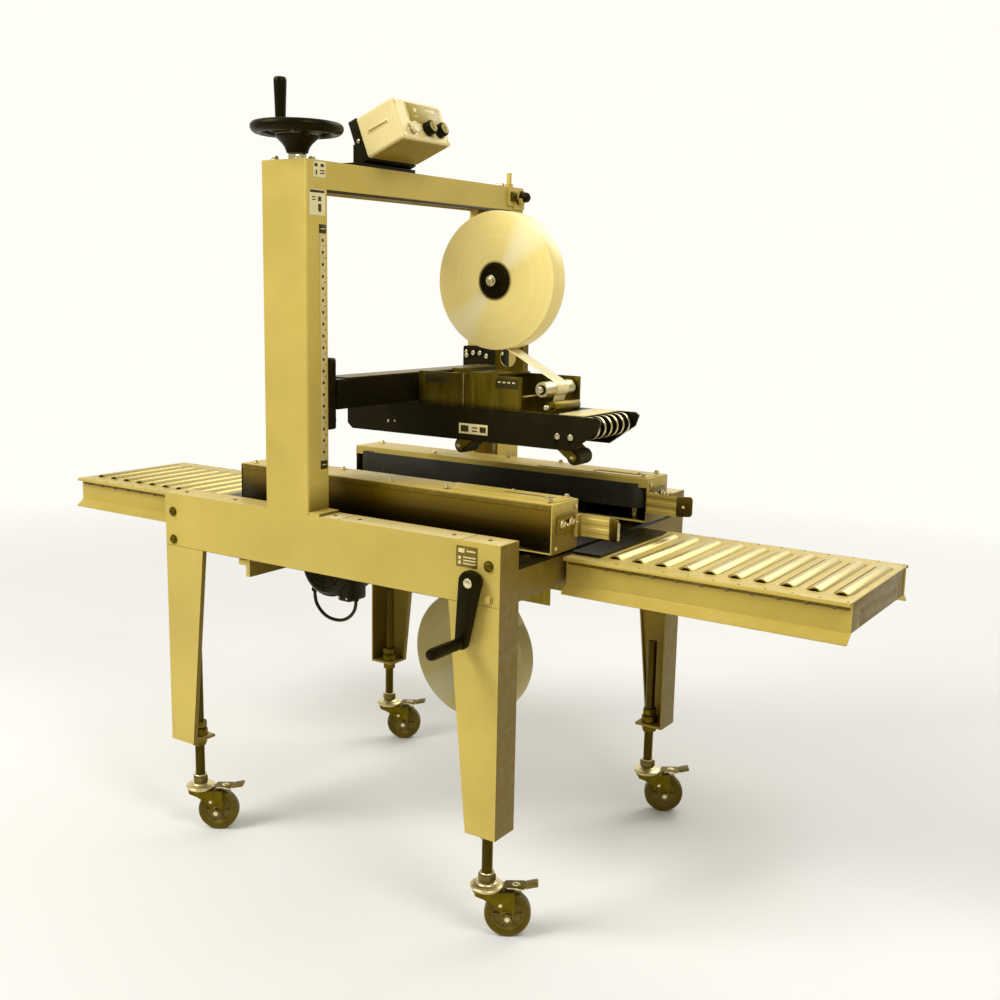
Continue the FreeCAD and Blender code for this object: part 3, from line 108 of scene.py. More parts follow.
class Nodes:
    """Short calls for building one material's node tree."""

    def __init__(self, name):
        self.material = bpy.data.materials.new(name)
        self.material.use_nodes = True
        self.tree = self.material.node_tree
        self.shader = self.tree.nodes["Principled BSDF"]
        self.place = self.add("ShaderNodeTexCoord").outputs["Object"]

    def add(self, kind, **settings):
        made = self.tree.nodes.new(kind)
        for key, value in settings.items():
            setattr(made, key, value)
        return made

    def link(self, start, end):
        self.tree.links.new(start, end)

    def scaled(self, stretch):
        mapping = self.add("ShaderNodeMapping")
        mapping.inputs["Scale"].default_value = stretch
        self.link(self.place, mapping.inputs["Vector"])
        return mapping.outputs["Vector"]

    def noise(self, scale, detail=4, rough=0.55, stretch=(1, 1, 1), distortion=0):
        made = self.add("ShaderNodeTexNoise")
        made.inputs["Scale"].default_value = scale
        made.inputs["Detail"].default_value = detail
        made.inputs["Roughness"].default_value = rough
        made.inputs["Distortion"].default_value = distortion
        self.link(self.scaled(stretch), made.inputs["Vector"])
        return made.outputs["Fac"]

    def ramp(self, value, stops):
        made = self.add("ShaderNodeValToRGB")
        band = made.color_ramp
        while len(band.elements) < len(stops):
            band.elements.new(0.5)
        for element, (position, colour) in zip(band.elements, stops):
            element.position = position
            element.color = (*colour, 1)
        self.link(value, made.inputs["Fac"])
        return made.outputs["Color"]

    def levels(self, value, low, high, out_low=0.0, out_high=1.0):
        made = self.add("ShaderNodeMapRange")
        made.clamp = True
        ends = {"From Min": low, "From Max": high, "To Min": out_low, "To Max": out_high}
        for key, number in ends.items():
            made.inputs[key].default_value = number
        self.link(value, made.inputs["Value"])
        return made.outputs["Result"]

    def math(self, operation, first, second=None):
        made = self.add("ShaderNodeMath", operation=operation)
        for socket, value in zip(made.inputs, (first, second)):
            if value is None:
                continue
            if isinstance(value, (int, float)):
                socket.default_value = value
            else:
                self.link(value, socket)
        return made.outputs[0]

    def mix(self, factor, first, second):
        made = self.add("ShaderNodeMix", data_type="RGBA")
        for socket, value in ((made.inputs[0], factor), (made.inputs[6], first), (made.inputs[7], second)):
            if isinstance(value, (int, float)):
                socket.default_value = value
            elif isinstance(value, tuple):
                socket.default_value = (*value, 1)
            else:
                self.link(value, socket)
        return made.outputs[2]

    def bump(self, height, strength, distance):
        made = self.add("ShaderNodeBump")
        made.inputs["Strength"].default_value = strength
        made.inputs["Distance"].default_value = distance
        self.link(height, made.inputs["Height"])
        if self.shader.inputs["Normal"].links:
            self.link(self.shader.inputs["Normal"].links[0].from_socket, made.inputs["Normal"])
        self.link(made.outputs["Normal"], self.shader.inputs["Normal"])

    def set(self, **values):
        for key, value in values.items():
            socket = self.shader.inputs[key.replace("_", " ")]
            if isinstance(value, (int, float)):
                socket.default_value = value
            elif isinstance(value, tuple):
                socket.default_value = value if socket.type == "VECTOR" else (*value, 1)
            else:
                self.link(value, socket)
        return self


TINT = (1.0, 0.82, 0.30)                # warm tint of every highlight


def times(colour, factor):
    return tuple(min(1, channel * factor) for channel in colour)


def paint(name, colour, rough=0.42, coat=0.15, dirt=0.35, wear=(0.55, 0.5, 0.33), worn=0.5, spread=0.10,
        shine=0.5, inner=0.0):
    """Powder coat: mottled colour, orange peel, dust in soft patches, brighter worn edges.

    inner is how strongly painted shade darkens the faces toward the infeed end below the bed; it stands in
    for the shade there and is not a colour of the paint.
    """
    n = Nodes(name)
    dark = times(colour, 1 - spread)
    light = times(colour, 1 + spread)
    mottled = n.ramp(n.noise(5.0, 5), [(0.3, dark), (0.7, light)])
    grime = n.levels(n.noise(2.6, 8, 0.7, distortion=0.4), 0.52, 0.8, 0, dirt)
    grimy = n.mix(grime, mottled, times(colour, 0.72))
    speck = n.levels(n.noise(900, 2), 0.68, 0.76, 0, 0.25)
    specked = n.mix(speck, grimy, times(colour, 0.6))
    sharp = n.add("ShaderNodeNewGeometry").outputs["Pointiness"]
    chipped = n.levels(n.noise(40, 6, 0.7), 0.5, 0.62, 0, worn)
    edge = n.math("MULTIPLY", n.levels(sharp, 0.53, 0.60), chipped)
    # painted shade: faces turned toward +X below 0.80-0.86 m are mixed toward a dark colour
    if inner:
        facing = n.add("ShaderNodeSeparateXYZ")
        n.link(n.add("ShaderNodeTexCoord").outputs["Normal"], facing.inputs[0])
        height = n.add("ShaderNodeSeparateXYZ")
        n.link(n.place, height.inputs[0])
        shade = n.math("MULTIPLY", n.levels(facing.outputs["X"], 0.5, 0.9),
                n.levels(height.outputs["Z"], 0.80, 0.86, inner, 0))
        painted_shade_colour = tuple(c * k for c, k in zip(colour, (0.22, 0.18, 0.03)))
        specked = n.mix(shade, specked, painted_shade_colour)
    gloss = n.levels(n.noise(60, 5), 0.3, 0.7, rough - 0.08, rough + 0.1)
    n.set(Base_Color=n.mix(edge, specked, wear), Roughness=gloss, Coat_Weight=coat, Coat_Roughness=0.25,
            Coat_Tint=TINT, Specular_Tint=TINT, Specular_IOR_Level=shine)
    n.bump(n.noise(700, 3), 0.10, 0.0004)
    n.bump(n.noise(130, 2), 0.05, 0.0010)
    return n.material


def metal(name, colour, rough=0.28, grain=(1, 1, 1), grain_scale=90, stain=0.3, spread=0.14):
    """Bare or plated steel: grain drawn out one way, cloudy plating and dull stains."""
    n = Nodes(name)
    streak = n.noise(grain_scale, 6, 0.65, grain)
    cloud = n.noise(9, 6, 0.6)
    dark = times(colour, 1 - 2 * spread)
    light = times(colour, 1 + spread)
    drawn = n.ramp(streak, [(0.25, dark), (0.75, light)])
    stained = n.mix(n.levels(cloud, 0.5, 0.8, 0, stain), drawn, times(colour, 0.55))
    drag = n.levels(streak, 0.2, 0.8, rough - 0.08, rough + 0.1)
    n.set(Base_Color=stained, Metallic=1.0, Roughness=n.math("ADD", drag,
            n.levels(cloud, 0.4, 0.8, 0, 0.12)))
    n.bump(streak, 0.10, 0.0003)
    n.bump(n.noise(420, 2), 0.05, 0.0003)
    return n.material


def plastic(name, colour, rough=0.4, texture=0.25, scale=800, dust=0.25, shine=0.5):
    """Moulded plastic: fine spark texture, slight colour drift, dust."""
    n = Nodes(name)
    dark = times(colour, 0.88)
    light = times(colour, 1.12)
    drift = n.ramp(n.noise(14, 5), [(0.3, dark), (0.7, light)])
    dusty = n.mix(n.levels(n.noise(35, 7, 0.7), 0.55, 0.85, 0, dust), drift,
            tuple(min(1, c * 1.6 + 0.035 * t) for c, t in zip(colour, TINT)))
    n.set(Base_Color=dusty, Roughness=n.levels(n.noise(90, 4), 0.3, 0.7, rough - 0.07, rough + 0.12),
            Specular_Tint=TINT, Specular_IOR_Level=shine)
    n.bump(n.noise(scale, 2), texture, 0.0003)
    return n.material


def wound_tape(name, x, z, bright=1.0):
    """Side of a roll of film: fine rings round the axis at (x, z), and soft bright sectors that are a
    painted highlight; bright below 1 darkens the colours, coat and gloss as painted shade.
    """
    n = Nodes(name)
    split = n.add("ShaderNodeSeparateXYZ")
    n.link(n.place, split.inputs[0])
    dx = n.math("SUBTRACT", split.outputs["X"], x * MM)
    dz = n.math("SUBTRACT", split.outputs["Z"], z * MM)
    radius = n.math("SQRT", n.math("ADD", n.math("MULTIPLY", dx, dx), n.math("MULTIPLY", dz, dz)))
    angle = n.math("ARCTAN2", dz, dx)
    joined = n.add("ShaderNodeCombineXYZ")
    n.link(n.math("MULTIPLY", radius, 1400.0), joined.inputs[0])
    rings = n.add("ShaderNodeTexNoise", noise_dimensions="3D")
    rings.inputs["Scale"].default_value = 1.0
    rings.inputs["Detail"].default_value = 3
    n.link(joined.outputs[0], rings.inputs["Vector"])
    bands = n.add("ShaderNodeCombineXYZ")
    n.link(n.math("MULTIPLY", radius, 60.0), bands.inputs[0])
    wide = n.add("ShaderNodeTexNoise")
    wide.inputs["Scale"].default_value = 1.0
    n.link(bands.outputs[0], wide.inputs["Vector"])
    # painted highlight: bright sectors round the axis, mixed into the colour
    sector = n.math("SINE", n.math("MULTIPLY", n.math("ADD", angle, -0.09), 2.0))
    painted_sheen = n.levels(sector, 0.72, 1.0, 0, 0.7)
    dark, pale, band, shine = (tuple(bright * c for c in colour) for colour in ((0.86, 0.70, 0.25),
            (0.98, 0.84, 0.36), (0.99, 0.87, 0.42), (1.0, 0.95, 0.66)))
    ringed = n.ramp(rings.outputs["Fac"], [(0.3, dark), (0.7, pale)])
    banded = n.mix(n.levels(wide.outputs["Fac"], 0.45, 0.7, 0, 0.45), ringed, band)
    with_painted_sheen = n.mix(painted_sheen, banded, shine)
    patch = n.mix(n.levels(n.noise(7, 5), 0.5, 0.75, 0, 0.3), with_painted_sheen, dark)
    n.set(Base_Color=patch, Roughness=n.levels(rings.outputs["Fac"], 0.3, 0.7, 0.30, 0.44),
            Subsurface_Weight=0.08, Subsurface_Radius=(0.01, 0.008, 0.004), Coat_Weight=0.2 * bright,
            Coat_Roughness=0.12, Coat_Tint=TINT, Specular_Tint=TINT, Specular_IOR_Level=0.4 * bright)
    n.bump(rings.outputs["Fac"], 0.16, 0.0004)
    return n.material


def belt_rubber(name):
    """Rubber belt with a fine cross-hatched tread."""
    n = Nodes(name)
    ribs = n.add("ShaderNodeTexWave", wave_type="BANDS", bands_direction="X")
    ribs.inputs["Scale"].default_value = 90
    n.link(n.place, ribs.inputs["Vector"])
    lines = n.add("ShaderNodeTexWave", wave_type="BANDS", bands_direction="Z")
    lines.inputs["Scale"].default_value = 110
    n.link(n.place, lines.inputs["Vector"])
    weave = n.math("MULTIPLY", ribs.outputs["Fac"], lines.outputs["Fac"])
    worn = n.ramp(n.noise(18, 6, 0.6, (0.3, 1, 1)), [(0.3, (0.012, 0.010, 0.004)),
            (0.75, (0.045, 0.036, 0.012))])
    n.set(Base_Color=worn, Roughness=n.levels(weave, 0, 1, 0.55, 0.75))
    n.bump(weave, 0.5, 0.0006)
    return n.material


def belt_cover(name):
    """Glossy cover enamel with painted light: a painted reflection makes it olive on top, and painted shade
    darkens it downwards.
    """
    n = Nodes(name)
    split = n.add("ShaderNodeSeparateXYZ")
    n.link(n.place, split.inputs[0])
    rise = n.levels(n.math("ADD", split.outputs["Z"], n.math("MULTIPLY", n.noise(9, 4), 0.008)), 0.778,
            0.842)
    # painted reflection and painted shade: colour runs from near black low down to olive at the top
    shade = n.ramp(rise, [(0.0, (0.004, 0.0025, 0.0003)), (0.28, (0.012, 0.007, 0.0005)),
            (0.55, (0.045, 0.027, 0.001)), (1.0, (0.165, 0.105, 0.003))])
    n.set(Base_Color=shade, Roughness=n.levels(n.noise(60, 5), 0.3, 0.7, 0.22, 0.36), Coat_Weight=0.25,
            Coat_Roughness=0.2, Coat_Tint=TINT, Specular_Tint=TINT, Specular_IOR_Level=0.35)
    n.bump(n.noise(700, 3), 0.05, 0.0004)
    return n.material


M = {
    # khaki carries painted shade on its +X faces below the bed (inner=0.92)
    "khaki": paint("khaki_powder_coat", (0.585, 0.450, 0.105), rough=0.44, dirt=0.2, worn=0.12, inner=0.92),
    # shaded: darker copy of khaki as painted shade, plus inner painted shade on +X faces below the bed
    "shaded": paint("khaki_painted_shade", (0.30, 0.215, 0.026), rough=0.44, dirt=0.15, worn=0.03, inner=0.6),
    "pale": paint("pale_khaki", (0.78, 0.66, 0.30), rough=0.36, dirt=0.1),
    "table": paint("table_powder_coat", (0.53, 0.405, 0.085), rough=0.40, worn=0.2),
    "cover": belt_cover("belt_cover_enamel"),
    "olive": paint("olive_enamel", (0.165, 0.105, 0.004), rough=0.32, dirt=0.2, wear=(0.3, 0.24, 0.06)),
    "cream": paint("cream_enamel", (0.84, 0.74, 0.40), rough=0.34, coat=0.3, dirt=0.12),
    "black": paint("black_enamel", (0.006, 0.0045, 0.001), rough=0.36, coat=0.04, wear=(0.16, 0.12, 0.03),
            worn=0.05, dirt=0.1, spread=0.25, shine=0.2),
    "zinc": metal("zinc_plate", (0.80, 0.69, 0.36), rough=0.30, grain_scale=60),
    "sheet": metal("drawn_sheet_steel", (0.27, 0.20, 0.018), rough=0.34, grain=(14, 1, 1), grain_scale=4,
            stain=0.75, spread=0.32),
    "roller": metal("roller_tube", (0.58, 0.46, 0.15), rough=0.24, grain=(60, 0.6, 60), grain_scale=12,
            spread=0.06, stain=0.15),
    "bright": metal("turned_steel", (0.86, 0.76, 0.46), rough=0.22, grain_scale=160),
    "dark_steel": metal("oiled_steel", (0.22, 0.17, 0.05), rough=0.38, stain=0.5),
    "cast": metal("olive_pressing", (0.165, 0.118, 0.006), rough=0.36, grain_scale=70, stain=0.6,
            spread=0.25),
    "thread": metal("blackened_thread", (0.15, 0.11, 0.012), rough=0.34),
    "rubber": plastic("wiper_rubber", (0.045, 0.036, 0.012), rough=0.6, texture=0.3),
    "black_plastic": plastic("black_plastic", (0.007, 0.005, 0.0006), rough=0.34, dust=0.02, shine=0.12),
    "grip": plastic("grip_plastic", (0.007, 0.005, 0.0006), rough=0.30, texture=0.12, dust=0.02,
            shine=0.12),
    "pale_plastic": plastic("pale_plastic", (0.80, 0.70, 0.36), rough=0.3, texture=0.1),
    "wheel": plastic("caster_tread", (0.105, 0.072, 0.004), rough=0.42, texture=0.2, shine=0.3),
    "hub": plastic("caster_hub", (0.16, 0.12, 0.02), rough=0.4, texture=0.2),
    "lead": plastic("lead_jacket", (0.008, 0.006, 0.0015), rough=0.45, texture=0.1, scale=500),
    "legend": plastic("legend_film", (0.38, 0.285, 0.05), rough=0.32, texture=0.05, shine=0.3),
    "label": plastic("label_film", (0.80, 0.71, 0.38), rough=0.3, texture=0.04),
    "ink": plastic("label_ink", (0.030, 0.024, 0.006), rough=0.35, texture=0.03),
    "film": plastic("tape_film", (0.84, 0.73, 0.38), rough=0.18, texture=0.03),
    "core": plastic("core_board", (0.34, 0.25, 0.08), rough=0.8, texture=0.5, scale=300),
    "belt": belt_rubber("side_belt_rubber"),
    "upper_roll": wound_tape("upper_tape", *UPPER_ROLL),
    # bright 0.50: the lower roll's colours are halved as painted shade under the bed
    "lower_roll": wound_tape("lower_tape", *LOWER_ROLL, 0.50),
    "paper": plastic("scale_strip", (0.62, 0.50, 0.20), rough=0.35, texture=0.03),
}


# ---------------------------------------------------------------- shape helpers

def turned(degrees, axis):
    return Matrix.Rotation(math.radians(degrees), 4, axis)


def mirrored(half):
    """A (radius, along) profile and its mirror image behind it."""
    return [*half, *((radius, -along) for radius, along in reversed(half))]


AXES = {"x": turned(90, "Y"), "y": turned(-90, "X"), "z": Matrix.Identity(4)}


class Form:
    """One piece, built of closed shells; every length is in millimetres."""

    def __init__(self, turn=None):
        self.mesh = bmesh.new()
        self.turn = turn or Matrix.Identity(4)
        self.slots = []
        self.current = 0

    def use(self, key):
        """Give the shells that follow this material."""
        if key not in self.slots:
            self.slots.append(key)
        self.current = self.slots.index(key)
        return self

    def keep(self, part, place):
        for face in part.faces:
            face.material_index = self.current
        bmesh.ops.recalc_face_normals(part, faces=part.faces)
        data = bpy.data.meshes.new("part")
        part.transform(self.turn @ place)
        part.to_mesh(data)
        part.free()
        self.mesh.from_mesh(data)
        bpy.data.meshes.remove(data)
        return self

    def box(self, centre, size, bevel=1.0, turn=None, segments=2):
        part = bmesh.new()
        bmesh.ops.create_cube(part, size=1)
        part.transform(Matrix.Diagonal((*size, 1)))
        if bevel:
            bmesh.ops.bevel(part, geom=part.edges[:], offset=min(bevel, min(size) * 0.45),
                    segments=segments, affect="EDGES", profile=0.5)
        return self.keep(part, Matrix.Translation(centre) @ (turn or Matrix.Identity(4)))

    def around(self, centre, axis, count, reach, size, bevel):
        """Equal boxes spread round an axis, each turned to face it."""
        for k in range(count):
            spin = turned(360 * k / count, axis)
            self.box(Vector(centre) + spin @ Vector((reach, 0, 0)), size, bevel, spin)

    def lathe(self, centre, axis, profile, segments=48, turn=None, closed=False):
        """Turn (radius, along) pairs about an axis; a closed profile makes a ring."""
        part = bmesh.new()
        rings = []
        for radius, along in profile:
            if radius < 1e-6:
                rings.append([part.verts.new((0, 0, along))] * segments)
                continue
            rings.append([part.verts.new((radius * math.cos(2 * math.pi * i / segments),
                    radius * math.sin(2 * math.pi * i / segments), along)) for i in range(segments)])
        pairs = list(zip(rings, rings[1:]))
        if closed:
            pairs.append((rings[-1], rings[0]))
        for first, second in pairs:
            for i in range(segments):
                k = (i + 1) % segments
                corners = [first[i], first[k], second[k], second[i]]
                corners = [v for j, v in enumerate(corners) if v not in corners[:j]]
                if len(corners) > 2:
                    part.faces.new(corners)
        if not closed:
            for ring in (rings[0], rings[-1]):
                if ring[0] is not ring[1]:
                    part.faces.new(ring)
        return self.keep(part, Matrix.Translation(centre) @ (turn or AXES[axis]))

    def rod(self, centre, axis, radius, length, bevel=0.6, segments=32, turn=None):
        half = length / 2
        bevel = min(bevel, radius * 0.45, half * 0.9)
        return self.lathe(centre, axis, mirrored([(0, -half), (radius - bevel, -half),
                (radius - 0.3 * bevel, -half + 0.3 * bevel), (radius, -half + bevel)]), segments, turn)

    def ring(self, centre, axis, outer, inner, length, bevel=0.6, segments=48):
        half = length / 2
        b = min(bevel, (outer - inner) * 0.3, half * 0.9)
        return self.lathe(centre, axis, [*mirrored([(inner + b, -half), (outer - b, -half),
                (outer, -half + b)]), (inner, half - b), (inner, -half + b)], segments, closed=True)

    def hexagon(self, centre, axis, across, height, spin=0.0):
        """Hexagon nut or head with chamfered corners."""
        part = bmesh.new()
        corner = across / math.sqrt(3)
        layers = []
        for along, scale in ((-height / 2, 0.93), (-height / 2 + 0.07 * across, 1),
                (height / 2 - 0.07 * across, 1), (height / 2, 0.93)):
            layers.append([part.verts.new((corner * scale * math.cos(spin + math.pi * i / 3),
                    corner * scale * math.sin(spin + math.pi * i / 3), along)) for i in range(6)])
        for first, second in zip(layers, layers[1:]):
            for i in range(6):
                part.faces.new((first[i], first[(i + 1) % 6], second[(i + 1) % 6], second[i]))
        part.faces.new(layers[0])
        part.faces.new(layers[-1])
        return self.keep(part, Matrix.Translation(centre) @ AXES[axis])

    def plate(self, outline, thickness, place, bevel=0.8, holes=()):
        """Flat plate in the local X and Y plane, centred on its thickness, with softened rims."""
        curve = bpy.data.curves.new("outline", "CURVE")
        curve.dimensions = "2D"
        curve.fill_mode = "BOTH"
        bevel = min(bevel, thickness * 0.4)
        curve.extrude = thickness / 2 - bevel
        curve.bevel_depth = bevel
        curve.bevel_resolution = 2
        curve.offset = -bevel
        for ring in (outline, *holes):
            spline = curve.splines.new("POLY")
            spline.points.add(len(ring) - 1)
            for point, (x, y) in zip(spline.points, ring):
                point.co = (x, y, 0, 1)
            spline.use_cyclic_u = True
        holder = add_to_scene("outline", curve)
        bpy.context.view_layer.update()
        data = bpy.data.meshes.new_from_object(holder.evaluated_get(bpy.context.evaluated_depsgraph_get()))
        part = bmesh.new()
        part.from_mesh(data)
        bmesh.ops.remove_doubles(part, verts=part.verts, dist=0.001)
        bpy.data.meshes.remove(data)
        bpy.data.objects.remove(holder)
        bpy.data.curves.remove(curve)
        return self.keep(part, place)

    def sweep(self, path, sizes, sides=12):
        """Tube of elliptical section along a path; sizes are the (level, upright) radii at each point."""
        part = bmesh.new()
        rings = []
        for i, (point, (wide, high)) in enumerate(zip(path, sizes)):
            ahead = (Vector(path[min(i + 1, len(path) - 1)]) - Vector(path[max(i - 1, 0)])).normalized()
            across = ahead.cross(Vector((0, 0, 1))).normalized()
            rise = across.cross(ahead)
            rings.append([part.verts.new(Vector(point) + across * wide * math.cos(2 * math.pi * k / sides)
                    + rise * high * math.sin(2 * math.pi * k / sides)) for k in range(sides)])
        for first, second in zip(rings, rings[1:]):
            for k in range(sides):
                part.faces.new((first[k], first[(k + 1) % sides], second[(k + 1) % sides], second[k]))
        part.faces.new(rings[0])
        part.faces.new(rings[-1])
        return self.keep(part, Matrix.Identity(4))

    def thread(self, centre, axis, radius, length, pitch, depth, sides=14):
        """Rod with a helical ridge; the plain core closes its ends."""
        self.rod(centre, axis, radius - depth, length, 0.5, sides * 2)
        part = bmesh.new()
        steps = int(length / pitch * sides)
        profile = ((radius - depth * 1.05, 0.0), (radius, 0.3), (radius, 0.5), (radius - depth * 1.05, 0.8))
        rows = []
        for i in range(steps + 1):
            angle = 2 * math.pi * i / sides
            base = -length / 2 + (length - pitch) * i / steps
            rows.append([part.verts.new((r * math.cos(angle), r * math.sin(angle), base + k * pitch))
                    for r, k in profile])
        for first, second in zip(rows, rows[1:]):
            for k in range(4):
                part.faces.new((first[k], second[k], second[(k + 1) % 4], first[(k + 1) % 4]))
        part.faces.new(rows[0])
        part.faces.new(rows[-1])
        return self.keep(part, Matrix.Translation(centre) @ AXES[axis])

    def finish(self, name, body, slot, replaces=(), angle=32):
        self.mesh.transform(Matrix.Scale(MM, 4))
        for face in self.mesh.faces:
            face.smooth = True
        limit = math.radians(angle)
        for edge in self.mesh.edges:
            if len(edge.link_faces) == 2:
                edge.smooth = edge.calc_face_angle(0) < limit
        data = bpy.data.meshes.new(name)
        self.mesh.to_mesh(data)
        self.mesh.free()
        piece = add_to_scene(name, data)
        for key in self.slots:
            data.materials.append(M[key])
        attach(piece, body)
        if replaces:
            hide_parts(*replaces)
        return piece


def arc(centre, radius, first, last, steps=8):
    """Points on a circle's arc, angles in degrees."""
    return [(centre[0] + radius * math.cos(math.radians(first + (last - first) * i / steps)),
            centre[1] + radius * math.sin(math.radians(first + (last - first) * i / steps)))
            for i in range(steps + 1)]


def rounded(points, radius, steps=5, closed=True):
    """Round the corners of an outline or an open path."""
    result = []
    count = len(points)
    for i, point in enumerate(points):
        if not closed and i in (0, count - 1):
            result.append(tuple(point))
            continue
        corner = Vector(point)
        before, after = Vector(points[i - 1]) - corner, Vector(points[(i + 1) % count]) - corner
        half = before.angle(after) / 2
        reach = min(radius / math.tan(half), before.length * 0.49, after.length * 0.49)
        first, last = corner + before.normalized() * reach, corner + after.normalized() * reach
        for k in range(steps + 1):
            t = k / steps
            result.append(tuple(first * (1 - t) ** 2 + corner * 2 * t * (1 - t) + last * t ** 2))
    return result


def oblong(length, height, radius, centre=(0, 0)):
    x, y = length / 2, height / 2
    return rounded([(centre[0] + a, centre[1] + b) for a, b in ((-x, -y), (x, -y), (x, y), (-x, y))],
            radius)


def circle(x, y, radius, steps=20):
    return arc((x, y), radius, 0, 360 - 360 / steps, steps - 1)


def folded(path, thickness, radius):
    """Outline of a folded sheet's section, from the line through the middle of the sheet."""
    line = [Vector(p) for p in rounded(path, radius, 5, closed=False)]
    left, right = [], []
    for i, point in enumerate(line):
        ahead = (line[min(i + 1, len(line) - 1)] - line[max(i - 1, 0)]).normalized()
        normal = Vector((-ahead.y, ahead.x)) * thickness / 2
        left.append(tuple(point + normal))
        right.append(tuple(point - normal))
    return left + right[::-1]


UPRIGHT = turned(90, "X")                  # plate in X and Z, its thickness along Y
ACROSS = turned(90, "Z") @ UPRIGHT         # plate in Y and Z, its thickness along X


def at(x, y, z):
    return Matrix.Translation((x, y, z))


def outward(side, distance):
    return CY + side * distance


def cap_screw(form, centre, axis, radius, height, sign=1):
    """Socket screw head standing on a point; sign is the way it faces."""
    direction = AXES[axis] @ Vector((0, 0, sign))
    form.rod(Vector(centre) + direction * height / 2, axis, radius, height, 0.8, 24)
    form.ring(Vector(centre) + direction * (height + 0.05), axis, radius * 0.8, radius * 0.5, 0.5, 0.15, 24)


def hex_bolt(form, centre, axis, across, height, sign=1, spin=0.2):
    """Hexagon head on its washer, with the end of the bolt above it."""
    direction = AXES[axis] @ Vector((0, 0, sign))
    form.rod(Vector(centre) + direction * 0.9, axis, across * 0.78, 1.8, 0.4, 32)
    base = Vector(centre) + direction * 1.8
    form.hexagon(base + direction * height / 2, axis, across, height, spin)
    form.rod(base + direction * (height + 0.4), axis, across * 0.34, 0.8, 0.3, 20)


def soften():
    """Small bevels on the CAD nodes that stay in view."""
    for node in NODES.values():
        weld = node.modifiers.new("weld", "WELD")
        weld.merge_threshold = 0.00002
        bevel = node.modifiers.new("bevel", "BEVEL")
        bevel.width = 0.8 * MM
        bevel.segments = 2
        bevel.limit_method = "ANGLE"
        bevel.angle_limit = math.radians(35)
        bevel.use_clamp_overlap = True
        bevel.harden_normals = True


# ---------------------------------------------------------------- casters and stems

def caster(end, side):
    name = f"{end}_{side}_caster"
    trail, height = AXLE
    stem = at(ENDS[end] * STEM_X, outward(SIDES[side], STEM_Y), 0) @ turned(31.5, "Z")
    fork = Form(stem).use("zinc")
    fork.lathe((0, 0, 0), "z", [(8.1, 112), (15, 112), (19, 110.6), (21, 108.6), (28, 107.6), (32, 105),
            (33, 101.6), (31.6, 98.4), (28, 96.6), (26, 95), (8.1, 95)], 56, closed=True)
    fork.ring((0, 0, 103.6), "z", 33.4, 31.5, 1.6, 0.5, 56)
    fork.use("cast").plate(rounded([(-27, -17), (-6, -24), (54, -24), (54, 24), (-6, 24), (-27, 17)], 7),
            4.6, at(0, 0, 95.4), 1.2)
    cheek = [(-24, 97), (54, 97), (57, 84), (55.5, 66), *arc(AXLE, 13.5, 0, -180, 10), (26, 58), (14, 70),
            (-6, 82), (-22, 88)]
    for turn in (-1, 1):
        fork.plate(rounded(cheek, 3, 2), 3, at(0, turn * 21, 0) @ UPRIGHT, 1)
        fork.use("dark_steel").hexagon((trail, turn * 26.4, height), "y", 18, 7.5, spin=0.3)
        fork.ring((trail, turn * 23.2, height), "y", 12, 6.3, 1.6, 0.4)
        fork.use("bright").rod((trail, turn * 28.5, height), "y", 5.4, 8, 1)
        fork.rod((28, turn * 23, 71), "y", 4, 2.4, 1)
        fork.use("cast")
    fork.rod((trail, 0, height), "y", 6, 40)
    fork.use("dark_steel").box((64, 0, 85), (9, 24, 8), 2)
    fork.finish(name + "_swivel_fork", name + "_fork", "caster_steel", [name + "_fork"])
    wheel = Form(stem).use("wheel")
    wheel.lathe((trail, 0, height), "y", mirrored([(33, -12), (36, -13.6), (42, -14.8), (44.6, -13.4),
            (46, -9.5), (46.5, -3)]), 72, closed=True)
    wheel.use("hub").lathe((trail, 0, height), "y", mirrored([(6.2, -16), (11, -16), (12.4, -14.5),
            (13, -9), (17, -6), (27, -6.4), (31, -10.5), (33.2, -11.5)]), 60, closed=True)
    for turn in (-1, 1):
        wheel.around((trail, turn * 8, height), "Y", 6, 21.5, (21, 4.6, 2.6), 0.8)
    wheel.finish(name + "_tread_and_hub", name + "_wheel", "wheel_plastic", [name + "_wheel"])
    pedal = Form(stem).use("cast")
    pedal.plate(rounded([(35.5, -15), (74, -17), (78, -12), (78, 12), (74, 17), (35.5, 15)], 4), 2.8,
            at(0, 0, 104.4), 0.9)
    pedal.use("zinc")
    for turn in (-1, 1):
        pedal.plate(rounded([(40, 102.4), (56, 102.4), (58, 100.6), (74, 100.6), (77, 105.4), (40, 105.4)],
                1.2), 2, at(0, turn * 15.4, 0) @ UPRIGHT, 0.7)
    pedal.rod((58, 0, 106.6), "z", 5.2, 3, 1.4)
    pedal.ring((58, 0, 106), "z", 8.2, 5, 1, 0.3)
    pedal.use("hub")
    tab = turned(-13, "Y")
    pedal.box((89, 0, 107.3), (25, 26, 6.5), 2, tab, 3)
    for k in range(4):
        pedal.box(Vector((89, 0, 107.3)) + tab @ Vector((k * 5 - 7.5, 0, 3.6)), (2, 21, 1.6), 0.6, tab)
    pedal.finish(name + "_brake_pedal", name + "_pedal", "pedal_plastic", [name + "_pedal"])


